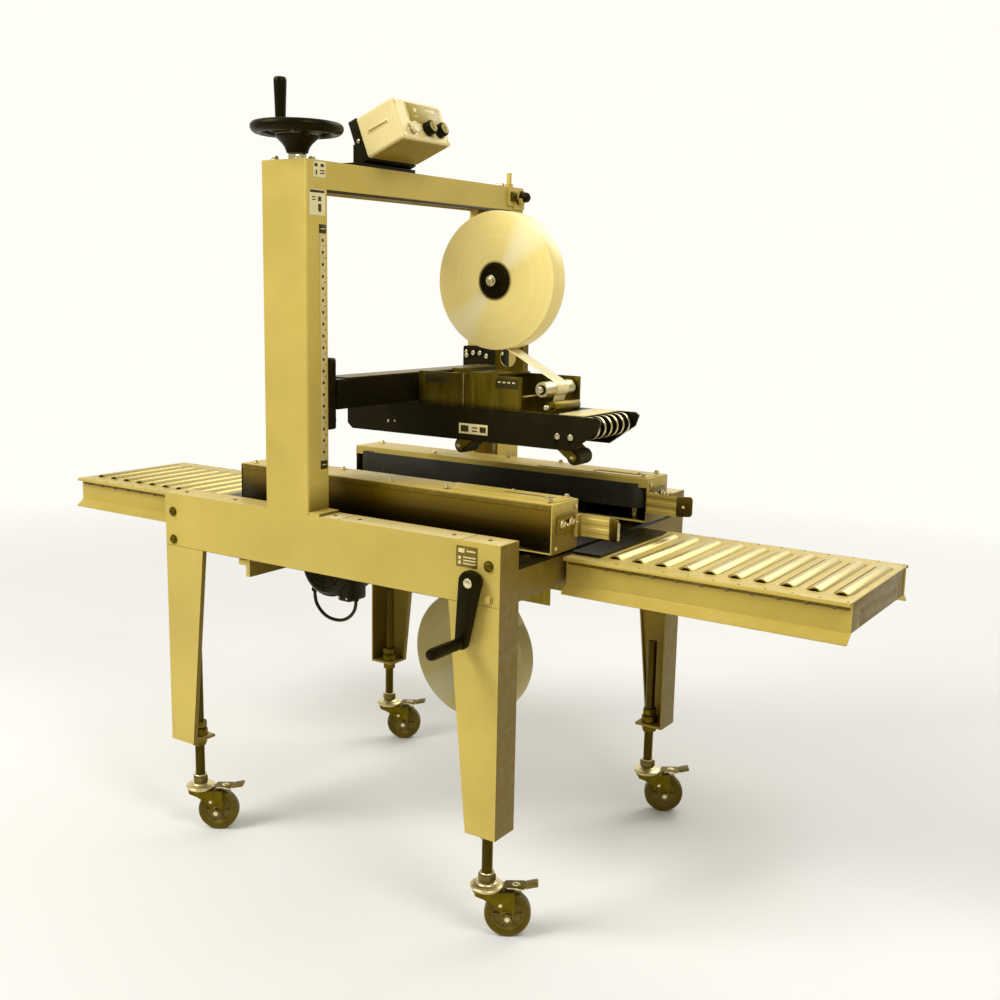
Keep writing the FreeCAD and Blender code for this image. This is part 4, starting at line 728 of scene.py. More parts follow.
def stems():
    form = Form()
    for end in (-1, 1):
        for side in (NEAR, FAR):
            x, y = end * STEM_X, outward(side, STEM_Y)
            form.use("thread").thread((x, y, 279), "z", 11, 302, 2.5, 1.3)
            form.rod((x, y, 103.5), "z", 7.8, 16)
            form.use("dark_steel").hexagon((x, y, 120.3), "z", 31, 15.4, spin=0.4)
            form.use("zinc").ring((x, y, 130.2), "z", 15, 10, 3, 0.8)
            form.use("cast").hexagon((x, y, 253.6), "z", 30, 16.5, spin=0.9)
            form.hexagon((x, y, 212.4), "z", 31, 16.5, spin=0.1)
            form.lathe((x, y, 236), "z", [(11, -9), (17, -9), (19, -7), (19, 5), (17.5, 8), (14, 9),
                    (11, 9)], 40, closed=True)
    form.finish("threaded_stems_and_nuts", "frame", "bright_steel", ["levelling_stems"])


# ---------------------------------------------------------------- frame details

def frame_bolts():
    form = Form()
    for side in (NEAR, FAR):
        face = outward(side, PANEL_Y)
        for end in (-1, 1):
            for z, key in ((757, "cast"), (694, "cast" if end < 0 else "khaki")):
                x = end * 422.5
                form.use(key)
                form.rod((x, face + side, z), "y", 10.5, 2, 0.5)
                form.lathe((x, face + side * 2, z), "y", [(0, 0), (8, 0), (8.4, side * 1.2),
                        (7.4, side * 3.4), (4.5, side * 4.9), (0, side * 5.2)], 32)
                form.ring((x, face + side * 6.6, z), "y", 4.4, 2.6, 0.9, 0.25, 6)
                form.hexagon((x, outward(side, PANEL_Y - 11), z), "y", 17, 6)
                form.rod((x, outward(side, PANEL_Y - 6), z), "y", 5, 16)
        form.use("bright")
        for offset_x, offset_y in ((32, 12), (-32, 12), (32, 48), (-32, 48)):
            if side == FAR and offset_x > 0:
                continue
            hex_bolt(form, (MAST_X + offset_x, outward(side, PANEL_Y - offset_y), MAST_TOP), "z", 13, 6)
    form.finish("panel_and_mast_bolts", "frame", "bright_steel", ["frame_bolts"])
    seams = Form().use("ink")
    for side in (NEAR, FAR):
        for x in (55, 356):
            seams.box((x, outward(side, PANEL_Y - 31), PANEL_TOP), (1.6, 58, 0.6), 0.2)
        seams.box((0, outward(side, PANEL_Y - 0.1), 680), (893, 0.5, 0.7), 0.1)
    # dark strip along the underside of the top beam
    seams.box((-23, CY, 1441), (8, 660, 6), 1)
    seams.use("pale")
    for side in (NEAR, FAR):
        for first, last in ((-3, 54), (56, 355), (357, 444)):
            seams.box(((first + last) / 2, outward(side, PANEL_Y - 30), PANEL_TOP + 0.05),
                    (last - first, 54, 0.3), 0.1)
    seams.finish("panel_seams_and_strips", "frame", "black_paint")
    screws = Form().use("dark_steel")
    for side in (NEAR, FAR):
        for x in (-410, -260, -120, 25, 90, 322, 405):
            screws.rod((x, outward(side, PANEL_Y - 30), PANEL_TOP + 0.5), "z", 4.4, 1.6, 0.6, 24)
            screws.ring((x, outward(side, PANEL_Y - 30), PANEL_TOP + 1.3), "z", 2.6, 1.4, 0.5, 0.15, 6)
    screws.finish("panel_top_screws", "frame", "bright_steel")


def bars(form, axis, centre, rows, depth=0.5, bevel=0.1):
    """Generic print on a face square to an axis; a row is (across, up, width, height) from the centre."""
    for across, up, width, height in rows:
        if axis == "x":
            form.box(Vector(centre) + Vector((0, across, up)), (depth, width, height), bevel)
        else:
            form.box(Vector(centre) + Vector((across, 0, up)), (width, depth, height), bevel)


def stickers():
    """Plain labels with generic bars and dots, and the height scale of the mast."""
    form = Form().use("label")
    mast_face = -18.6
    y0 = outward(NEAR, PANEL_Y)
    form.box((mast_face, y0 + 38, 1481), (0.6, 36, 30), 0.2)
    form.box((mast_face, y0 + 31, 1418), (0.6, 46, 50), 0.2)
    form.use("ink")
    bars(form, "x", (mast_face + 0.4, y0 + 38, 1481), ((-10, 8, 9, 6), (8, 8, 9, 6), (-9, -6, 4, 9),
            (8, -7, 12, 2.4), (8, -2, 12, 2.4)))
    bars(form, "x", (mast_face + 0.4, y0 + 31, 1418), ((0, 21, 42, 5), (7, 7, 9, 9), (7, -10, 9, 15),
            (-10, 10, 10, 2), (-10, 5, 10, 2)))
    form.use("paper").box((mast_face, y0 + 46, 1132), (0.5, 17, 470), 0.2)
    form.use("ink")
    for k in range(19):
        z = 1346 - k * 23.5
        form.rod((mast_face + 0.5, y0 + 46, z), "x", 3.2, 0.6, 0.15, 16)
        form.box((mast_face + 0.4, y0 + 51.5, z + 12.2), (0.5, 5, 1.2), 0.1)
    for z in (1368, 897):
        form.box((mast_face + 0.4, y0 + 46, z), (0.8, 20, 17), 0.3)
    form.use("label")
    for z in (1368, 897):
        form.box((mast_face + 0.95, y0 + 46, z), (0.3, 12, 1.6), 0.1)
    face = outward(NEAR, PANEL_Y) - 0.3
    form.use("olive").box((373, face, 768), (48, 0.6, 40), 0.2)
    form.use("label")
    bars(form, "y", (373, face - 0.4, 768), ((-12, 11, 14, 8), (10, 11, 20, 3), (-16, -3, 6, 6),
            (-16, -12, 6, 6), (6, -1, 28, 2.4), (6, -7, 28, 2.4), (6, -13, 28, 2.4)))
    form.finish("frame_labels_and_scale", "frame", "cream_paint")


def mast_clamp():
    """Small clamp plate with a hand knob where the beam meets the far mast."""
    x, y, z = -19, outward(FAR, 352), 1474
    form = Form().use("khaki").plate(oblong(74, 40, 4), 4, at(x + 2, y, z) @ ACROSS, 1)
    form.use("cast").box((x + 7, y - 16, z + 2), (8, 20, 22), 1.5)
    hex_bolt(form, (x + 4, y + 24, z + 10), "x", 12, 6)
    hex_bolt(form, (x + 4, y + 2, z - 9), "x", 12, 6)
    form.use("black_plastic").lathe((x + 4, y + 14, z + 2), "x",
            [(0, 0), (6, 0), (6, 8), (11, 12), (12.5, 17), (11.5, 24), (7, 28), (0, 29)], 32)
    form.finish("far_mast_clamp", "frame", "bright_steel")


def deck_screws():
    form = Form().use("dark_steel")
    for x in (-430, -360, -300, -200, -110, 20, 140, 260, 370, 418):
        for y in (-250, 250, -200, 200):
            if abs(y) == 200 and -80 < x < 360:
                continue
            form.rod((x, CY + y, DECK_Z + 0.4), "z", 4.2, 1.2, 0.5, 20)
    form.finish("deck_screws", "frame", "bright_steel")


# ---------------------------------------------------------------- roller tables

ROLLER_X = [546 + 50 * i for i in range(10)]
ROLLER_Z = 729
TABLE_MIDDLE, TABLE_LENGTH, TABLE_HALF = 742.5, 570, 182


def table(end):
    sign = ENDS[end]
    form = Form().use("table")
    middle, length = sign * TABLE_MIDDLE, TABLE_LENGTH
    slots = [oblong(35.2, 274, 17, (sign * x - middle, 0)) for x in ROLLER_X]
    x, y = length / 2, TABLE_HALF
    form.plate([(-x, -y), (x, -y), (x, y), (-x, y)], 3, at(middle, CY, 740.5), 0.8, slots)
    for side in (NEAR, FAR):
        path = ((TABLE_HALF, 735), (TABLE_HALF, 740.6), (167.5, 740.6), (167.5, 684.5), (187.2, 669))
        form.plate(folded([(side * y, z) for y, z in path], 2.6, 5), length, at(middle, CY, 0) @ ACROSS,
                0.5)
        form.rod((middle, CY + side * 187.2, 669.2), "x", 2.1, length - 2, 0.8, 16)
        # painted shadow: dark strip on the rail web under the table plate's edge
        form.use("olive").box((middle, outward(side, 169.1), 729), (length - 8, 0.5, 7), 0.1)
        form.use("table")
    inner = [(-166, 683), (166, 683), (166, 738), (-166, 738)]
    holes = [circle(y, z, 4.5) for y in (-120, 120) for z in (690, 714)]
    # on the infeed end this plate's +X face takes khaki's painted shade below the bed
    form.use("khaki").plate(inner, 4, at(sign * 1023.5, CY, 0) @ ACROSS, 0.6, holes)
    form.use("black").plate([(-166, 682), (166, 682), (166, 739), (-166, 739)], 8,
            at(sign * 461.5, CY, 0) @ ACROSS, 0.8)
    form.finish(end + "_table_rails", "frame", "khaki_paint", [end + "_table_frame"])
    screws = Form().use("dark_steel")
    for side in (NEAR, FAR):
        for x in ROLLER_X:
            screws.hexagon((sign * x, outward(side, 169.6), ROLLER_Z), "y", 10, 2.4)
            screws.rod((sign * x + 25, outward(side, 174.5), 742.2), "z", 2.4, 0.9, 0.4, 16)
    screws.finish(end + "_axle_screws", "frame", "bright_steel")


def rollers():
    form = Form()
    for sign in (-1, 1):
        for x in ROLLER_X:
            centre = (sign * x, CY, ROLLER_Z)
            form.use("roller").lathe(centre, "y", [*mirrored([(16.6, -132), (17.8, -132), (18.8, -130.8),
                    (19, -129)]), (16.6, 128), (16.6, -128)], 48, closed=True)
            for turn in (-1, 1):
                cap = (sign * x, CY + turn * 129.5, ROLLER_Z)
                form.use("black_plastic").ring(cap, "y", 16.5, 6.2, 4, 1.2, 40)
            form.use("bright").hexagon(centre, "y", 10, 332)
    form.finish("conveyor_rollers", "frame", "zinc_steel", ["table_rollers"], angle=40)


# ---------------------------------------------------------------- head lift

def handwheel():
    x, y, z = SCREW_X, outward(NEAR, SCREW_Y), 1559
    radius, rim_radius, grip_angle = 79.5, 11.9, math.radians(157)
    form = Form(at(x, y, z)).use("black_plastic")
    rim = [(radius + rim_radius * math.cos(a), 11.4 * math.sin(a) + 1.8 * math.cos(a))
            for a in (math.radians(15 * i) for i in range(24))]
    form.lathe((0, 0, 0), "z", rim, 96, closed=True)
    form.lathe((0, 0, 0), "z", [(10.2, -47), (19, -47), (21.5, -45.5), (22.5, -41), (25, -35), (31, -27),
            (39, -20), (43.5, -15.5), (44, -12.5), (41, -10.5), (32, -11), (22, -12), (15.5, -11),
            (14.5, -4), (13, -1.6), (10.2, -1.6)], 64, closed=True)
    for i in range(3):
        turn = turned(90 + 120 * i, "Z")
        path, sizes = [], []
        for k in range(9):
            t = k / 8
            path.append(turn @ Vector((33 + 40 * t, 0, -14 + 12 * t - 6 * t * (1 - t))))
            sizes.append((15 - 6 * t + 5 * (2 * t - 1) ** 4, 5.2 - 0.6 * t))
        form.sweep(path, sizes, 16)
    form.use("bright").rod((0, 0, -2), "z", 10, 8, 1.2)
    form.hexagon((0, 0, 4.6), "z", 16, 6.5)
    grip = (radius * math.cos(grip_angle), radius * math.sin(grip_angle))
    form.ring((*grip, 12.6), "z", 11, 5, 3, 0.7)
    form.rod((*grip, 30), "z", 4.9, 48)
    form.finish("dished_handwheel", "handwheel", "black_paint", ["handwheel"], angle=40)
    knob = Form(at(x + grip[0], y + grip[1], 0)).use("grip")
    knob.lathe((0, 0, 0), "z", [(5.1, 1573.4), (9.8, 1573.4), (10.9, 1574.8), (11, 1579), (10.8, 1588),
            (11.2, 1604), (12, 1628), (12.8, 1648), (13.2, 1658), (12.9, 1662.6), (11.2, 1665.6),
            (8, 1666.6), (5.1, 1666.7)], 48, closed=True)
    knob.use("bright").rod((0, 0, 1663), "z", 5, 5, 0.8)
    knob.finish("handwheel_knob", "handwheel_grip", "black_plastic", ["handwheel_grip"])


def lift_details():
    thread_low, thread_high, plain_low = 820, 1464, 1484
    for side, body, top in (("near", "handwheel", 1548), ("far", "far_lift_screw", 1511)):
        x, y = SCREW_X, outward(SIDES[side], SCREW_Y)
        form = Form().use("bright")
        form.rod((x, y, (plain_low + top) / 2), "z", 10, top - plain_low, 1)
        form.thread((x, y, (thread_low + thread_high) / 2), "z", 10, 640, 5, 1.6, sides=16)
        form.lathe((x, y, 812), "z", mirrored([(0, -6), (17, -6), (18, -5)]), 40)
        teeth = []
        for i in range(18):
            angle = 2 * math.pi * i / 18
            for share, radius in ((-0.16, 13.2), (-0.1, 16), (0.1, 16), (0.16, 13.2)):
                turn = angle + share * math.pi / 4.5
                teeth.append((radius * math.cos(turn), radius * math.sin(turn)))
        form.use("dark_steel").plate(teeth, 5.6, at(x, y, 1470), 0.4)
        form.rod((x, y, 1479), "z", 13, 12, 1)
        if side == "near":
            form.use("bright").ring((x, y, 1505), "z", 18, 10, 11.2, 1.2)
            form.hexagon((x, y, 1511), "z", 26, 1.2)
        else:
            form.use("bright").hexagon((x, y, 1505), "z", 19, 8)
        form.finish(side + "_lead_screw", body, "bright_steel", [side + "_lift_screw"])
    carriage = Form().use("bright")
    for side in (NEAR, FAR):
        y = outward(side, 313.9)
        for offset in (-30, -10, 10, 30):
            cap_screw(carriage, (-97 + offset, y, 1099 - abs(offset) // 3), "y", 6, 5, -side)
        for dx in (-52, 56):
            for z in (985, 1098):
                cap_screw(carriage, (-77 + dx, y, z), "y", 4.6, 4, -side)
    carriage.finish("carriage_screws", "head", "bright_steel")


# ---------------------------------------------------------------- tape, upper head, lower head

def tape_roll(name, x, z, key):
    form = Form(at(x, CY, z)).use(key)
    rim = mirrored([(41.5, -23.2), (43, -24), (143.5, -24), (145.4, -23.2), (146, -21.5)])
    form.lathe((0, 0, 0), "y", rim, 128, closed=True)
    form.use("core").ring((0, 0, 0), "y", 41.6, 38, 48.4, 0.6, 64)
    form.use("black_plastic").lathe((0, 0, 0), "y", [(8.1, -30), (13, -30), (14.5, -28.5), (15, -26.5),
            (33, -26.5), (36.5, -26), (37.6, -24.4), (37.6, 24), (36.5, 26), (14, 26), (8.1, 26)], 64,
            closed=True)
    form.ring((0, -27.2, 0), "y", 33, 29, 2, 0.8, 64)
    form.around((0, -27, 0), "Y", 6, 21.8, (14, 1.8, 3), 0.6)
    form.finish(name + "_wound", name, "tape_film", [name], angle=40)


def strip(name, body, path):
    """Film of a small thickness that follows a path in X and Z, centred across the machine."""
    form = Form().use("film")
    form.plate(folded(path, 0.35, 0.1), TAPE_WIDTH, at(0, CY, 0) @ UPRIGHT, 0.02)
    piece = form.finish(name, body, "tape_film", angle=60)


def tape_paths():
    upper = [(209.8, 1131.8)]
    upper += arc(TENSION, 16.4, 62, -60, 8) + arc(GUIDE, 12.4, 160, 250, 5) + [(352, 996)]
    strip("upper_tape_web", "head", upper)
    lower = [(242.8, 520.9), (176, 616), (168, 634), (168, 676)]
    strip("lower_tape_web", "frame", lower)


def upper_head():
    head = Form().use("bright")
    near_face = outward(NEAR, HEAD_Y)
    roll_x, roll_z = UPPER_ROLL
    tension_x, tension_z = TENSION
    for side in (NEAR, FAR):
        for x in (380, 411):
            cap_screw(head, (x, outward(side, HEAD_Y), 965), "y", 6.4, 4.2, side)
        cap_screw(head, (-60, outward(side, HEAD_Y), 962), "y", 3.4, 2.4, side)
        cap_screw(head, (-42, outward(side, HEAD_Y), 963), "y", 2.4, 1.6, side)
    for x in (310, 250, 60, 30):
        cap_screw(head, (x, outward(NEAR, CARTRIDGE_Y), 1000), "y", 3.4, 2.4, NEAR)
    head.rod((roll_x, outward(NEAR, 42.5), roll_z), "y", 7.6, 6, 1.2)
    hex_bolt(head, (roll_x, outward(NEAR, 38.2), roll_z), "y", 15, 5, NEAR, spin=0.5)
    head.rod((tension_x, outward(NEAR, 66), tension_z), "y", 7, 8, 1.2)
    head.ring((tension_x, outward(NEAR, 70.4), tension_z), "y", 5, 2.6, 1.2, 0.3)
    head.use("black").rod((tension_x, outward(NEAR, 62.6), tension_z), "y", 10.5, 1.4, 0.4)
    head.use("bright")
    head.rod((GUIDE[0], outward(NEAR, 66), GUIDE[1]), "y", 5.5, 8, 1.2)
    head.finish("head_screws", "head", "bright_steel")
    labels = Form().use("label")
    labels.box((170, near_face - 0.3, 962), (74, 0.6, 22), 0.2)
    labels.use("ink")
    bars(labels, "y", (170, near_face - 0.7, 962), ((-22, 0, 20, 14), (4, 3, 14, 3), (4, -4, 14, 3),
            (25, 0, 16, 12)), 0.4)
    face = outward(NEAR, CARTRIDGE_Y) - 0.3
    labels.box((58, face, 1064), (66, 0.6, 22), 0.2)
    labels.use("ink").box((238, face, 1062), (56, 0.6, 22), 0.2)
    for k in range(5):
        labels.box((36 + k * 11, face - 0.4, 1066), (7, 0.4, 10), 0.1)
    labels.use("label")
    for k in range(4):
        labels.box((220 + k * 12, face - 0.4, 1064), (7, 0.4, 3), 0.1)
    labels.finish("head_labels", "head", "cream_paint")
    trim = Form().use("sheet")
    trim.plate(folded([(-74, 1064), (-74, 1070.6), (-14, 1070.6)], 1.6, 2), 560, at(0, CY, 0) @ UPRIGHT,
            0.3)
    trim.box((129, face - 0.8, 1017), (3.4, 2.2, 122), 0.8)
    trim.use("bright").box((129, face - 1.6, 1017), (1.2, 1.2, 118), 0.4)
    trim.use("pale").plate(rounded([(372, -72), (433, -72), (433, 72), (372, 72)], 4), 1.6,
            at(0, CY, 1008.6), 0.5)
    for x in (380, 424):
        for y in (-62, 62):
            trim.use("bright").rod((x, CY + y, 1009.6), "z", 4, 2, 0.8, 24)
    trim.finish("head_trim", "head", "black_paint")
    discs = Form()
    for offset in (-65, -39, -13, 13, 39, 65):
        discs.use("black").lathe((442, CY + offset, 984), "y",
                mirrored([(0, -4.6), (18, -4.6), (21.6, -3.6), (22.4, -1.5)]), 48)
        discs.use("zinc").ring((442, CY + offset, 984), "y", 22.9, 21.6, 6, 0.5, 48)
    discs.finish("nose_discs", "head", "black_paint")
    roller = Form().use("zinc")
    roller.ring((tension_x, CY - 5, tension_z), "y", 16, 5.1, 114, 1.6, 48)
    for k in range(9):
        roller.ring((tension_x, CY - 53 + 12 * k, tension_z), "y", 16.25, 14, 5, 0.5, 48)
    roller.finish("tension_roller_knurled", "upper_tension_roller", "roller_rubber",
            ["upper_tension_roller"])


def wiping_arm(name, pivot_x, pivot_z, lean, drop):
    form = Form().use("sheet")
    tip_x, tip_z = pivot_x + lean * ARM_X, pivot_z + drop * ARM_Z
    slope = math.degrees(math.atan2(drop * ARM_Z, lean * ARM_X))
    for side in (NEAR, FAR):
        outline = arc((pivot_x, pivot_z), 12, slope + 90, slope + 270, 10)
        outline += arc((tip_x, tip_z), 10, slope - 90, slope + 90, 10)
        middle = ((pivot_x + tip_x) / 2, (pivot_z + tip_z) / 2)
        form.plate(outline, 3, at(0, outward(side, 31), 0) @ UPRIGHT, 0.8, [circle(*middle, 5)])
    form.use("bright").ring((pivot_x, CY, pivot_z), "y", 11, 6.1, 65, 1)
    form.rod((tip_x, CY, tip_z), "y", 5, 70, 1)
    form.use("rubber").lathe((tip_x, CY, tip_z), "y", mirrored([(5.1, -26), (15, -26), (16.6, -24.5),
            (17, -22)]), 48, closed=True)
    for k in range(7):
        form.ring((tip_x, CY - 18 + 6 * k, tip_z), "y", 17.15, 15.5, 2.4, 0.4, 48)
    form.finish(name + "_and_roller", name, "arm_steel", [name])


# ---------------------------------------------------------------- belt units and width crank

def belt_unit(side):
    s = SIDES[side]
    form = Form().use("cover")

    def y(distance):
        return outward(s, distance)

    def sided(*pairs):
        return [(s * distance, height) for distance, height in pairs]

    def across(x):
        return at(x, CY, 0) @ ACROSS

    cover = sided((165, 760), (247.5, 760), (247.5, 850), (228, 850))
    form.plate(folded(cover, 3, 11), 817, across(BELT_MIDDLE), 0.4)
    form.use("khaki").box((BELT_MIDDLE, y(200), 854.6), (825, 96, 3), 1)
    form.plate(folded(sided((152.8, 836), (152.8, 854.6), (160, 854.6)), 1.6, 1.2), 823,
            across(BELT_MIDDLE), 0.4)
    form.use("olive").plate(folded(sided((240, 854.6), (249, 854.6), (249, 845)), 1.6, 2.4), 823,
            across(BELT_MIDDLE), 0.4)
    form.use("khaki")
    window = oblong(118, 15, 7, (378, s * 184))
    raised = rounded([(180, s * 158), (464, s * 158), (464, s * 216), (210, s * 216)], 5)
    form.plate(raised, 2.4, at(0, CY, 857.2), 0.6, [window])
    # painted shade: dark sheet in the window of the raised plate
    form.use("ink").plate(oblong(116, 14, 6, (378, s * 184)), 0.6, at(0, CY, 856.5), 0.1)
    form.use("khaki")
    # the infeed end plate takes khaki's painted shade on its +X face; the exit one the cover's painted
    # reflection and shade
    for x, key in ((468.5, "khaki"), (-353.5, "cover")):
        form.use(key).plate(rounded(sided((152, 758), (250, 758), (250, 856), (152, 856)), 5), 3,
                across(x), 0.8)
    form.use("khaki").box((BELT_MIDDLE, y(201), 759.4), (819, 94, 2.6), 0.8)
    form.use("black").box((BELT_MIDDLE, y(151.8), BELT_Z), (667, 5.6, 42), 1)
    for x in (-192.5, 57.5, 307.5):
        form.box((x, y(159.5), 807.5), (16, 10, 90), 1)
    form.use("bright")
    for x in (DRUM_X, IDLER_X):
        form.rod((x, y(BELT_Y), 807.5), "z", 8, 92, 1)
    for x, d in ((-120, 170), (60, 228), (205, 228), (452, 166), (452, 230), (-330, 228)):
        hex_bolt(form, (x, y(d), 856.2 if x < 180 else 858.4), "z", 9, 4)
    for x, d in ((330, 170), (426, 198)):
        cap_screw(form, (x, y(d), 858.4), "z", 4, 3)
    for d, z in ((164, 843), (238, 770)):
        cap_screw(form, (470, y(d), z), "x", 4.6, 4)
    form.use("olive").plate(rounded(sided((165, 798), (237, 798), (237, 834), (165, 834)), 9), 3,
            across(472), 0.8, [oblong(52, 12, 6, (s * 201, 816))])
    # painted shade: dark sheet filling the slot of the end plate
    form.use("ink").plate(oblong(51, 11, 5, (s * 201, 816)), 0.8, across(471.4), 0.1)
    form.use("bright")
    for d in (218, 184):
        hex_bolt(form, (473.4, y(d), 816), "x", 11, 6)
        form.rod((486, y(d), 816), "x", 3, 8, 0.6)
    form.use("khaki")
    ribs = [(149.6, 782), (149.6, 790), (151.6, 793), (151.6, 799), (149.6, 802), (149.6, 808),
            (151.6, 811), (151.6, 817), (149.6, 820), (149.6, 826)]
    form.plate(folded(sided(*ribs), 2.2, 0.8), 72, across(506), 0.5)
    form.box((474, y(158), 804), (8, 16, 44), 1)
    flare = at(541, y(150), 804) @ turned(s * 32, "Z")
    shoe = rounded([(0, -22), (34, -22), (34, 22), (0, 22)], 7)
    form.use("cover").plate(shoe, 4.4, flare @ UPRIGHT, 1.4)
    form.use("bright").plate(rounded([(33, -17), (35, -17), (35, 17), (33, 17)], 0.8), 5.4,
            flare @ UPRIGHT, 1)
    form.rod(flare @ Vector((14, s * -2.6, 0)), "y", 3.4, 2, 0.6, turn=flare.to_3x3().to_4x4() @ AXES["y"])
    form.use("black")
    for x, z in (WIDTH_SCREW, GUIDE_ROD, SHAFT):
        form.plate(rounded([(-20, -18), (20, -18), (20, 741 - z), (9, 741 - z), (9, 759 - z),
                (-9, 759 - z), (-9, 741 - z), (-20, 741 - z)], 1.5), 40, at(x, y(195), z) @ UPRIGHT, 1,
                [circle(0, 0, 9.1, 32)])
        for turn in (-1, 1):
            form.use("bright").ring((x, y(195 + turn * 20.4), z), "y", 14, 9.2, 2, 0.5)
        form.use("black")
    form.finish(side + "_belt_housing", side + "_drive", "cover_paint", [side + "_belt_unit"])
    belt = Form().use("belt")
    centre = s * BELT_Y

    def loop(radius):
        return arc((IDLER_X, centre), radius, -90, 90, 16) + arc((DRUM_X, centre), radius, 90, 270, 16)

    belt.plate(loop(38.35), 54, at(0, CY, BELT_Z), 0.8, [loop(35.4)[::-1]])
    for k in range(120):
        x = -308 + k * 6.18
        belt.box((x, outward(s, BELT_Y - 38.3), BELT_Z), (2.6, 0.7, 50), 0.15)
    belt.finish(side + "_ribbed_belt", side + "_drive", "belt_rubber", [side + "_side_belt"])
    drum = Form().use("dark_steel")
    drum.lathe((DRUM_X, outward(s, BELT_Y), BELT_Z), "z", [(8.2, -29), (33, -29), (34.4, -27.6),
            (34.9, -20), (35, 0), (34.9, 20), (34.4, 27.6), (33, 29), (8.2, 29)], 64, closed=True)
    drum.around((DRUM_X, outward(s, BELT_Y), BELT_Z), "Z", 24, 34.6, (0.8, 3.4, 50), 0.2)
    drum.finish(side + "_lagged_drum", side + "_drive_drum", "bright_steel", [side + "_drive_drum"])


def crank():
    x, z = WIDTH_SCREW
    face = outward(NEAR, PANEL_Y)
    swing = turned(8, "Y")
    form = Form().use("bright")
    form.rod((x, CY - 1, z), "y", 9, 772, 1)
    for start, end in ((-330, -60), (60, 330)):
        form.thread((x, CY + (start + end) / 2, z), "y", 9.02, end - start, 5, 0.7)
    form.ring((x, face - 1.5, z), "y", 17, 9, 1.8, 0.4)
    outline = arc((0, 0), 23, -6, 186, 18) + arc((0, -119), 13.5, 186, 354, 14)
    form.use("black_plastic").plate(outline, 15, at(x, face - 15.5, z) @ swing @ UPRIGHT, 3)
    form.rod((x, face - 6, z), "y", 20, 9, 1.5)
    inset = arc((0, -16), 11, 0, 180, 8) + arc((0, -98), 7.5, 180, 360, 8)
    form.plate(inset, 1.4, at(x, face - 23.2, z) @ swing @ UPRIGHT, 0.6)
    tip = Vector((x, face, z)) + swing @ Vector((0, 0, -119))
    form.use("bright").ring((x, face - 24, z), "y", 9.5, 4.5, 2.2, 0.6)
    form.rod((x, face - 23.8, z), "y", 6.5, 3, 1)
    form.rod((tip.x, face - 54, tip.z), "y", 4.9, 66, 1)
    form.finish("crank_arm_and_screw", "width_crank", "black_paint", ["width_crank"])
    grip = Form().use("grip")
    profile = [(5.1, -25.6), (9, -25.6), (10.6, -27), (11.4, -31), (11.2, -50), (11.8, -80), (12, -98),
            (11.6, -110), (9.6, -115.6), (5.1, -117)]
    grip.lathe((tip.x, face, tip.z), "y", profile, 48, closed=True)
    grip.rod((tip.x, face - 115.2, tip.z), "y", 6, 3.2, 1.2)
    grip.finish("crank_handle", "width_crank_grip", "black_plastic", ["width_crank_grip"])


# ---------------------------------------------------------------- controls

TILT = at(9, CY - 122, 1575) @ turned(-22, "Y")         # frame of the tilted control box
PANEL_FACE = 50.5
KNOBS, KNOB_UP = {"speed_knob": 8, "power_knob": 48}, -17
BUTTON_SPOT = (PANEL_FACE, -42, -20)


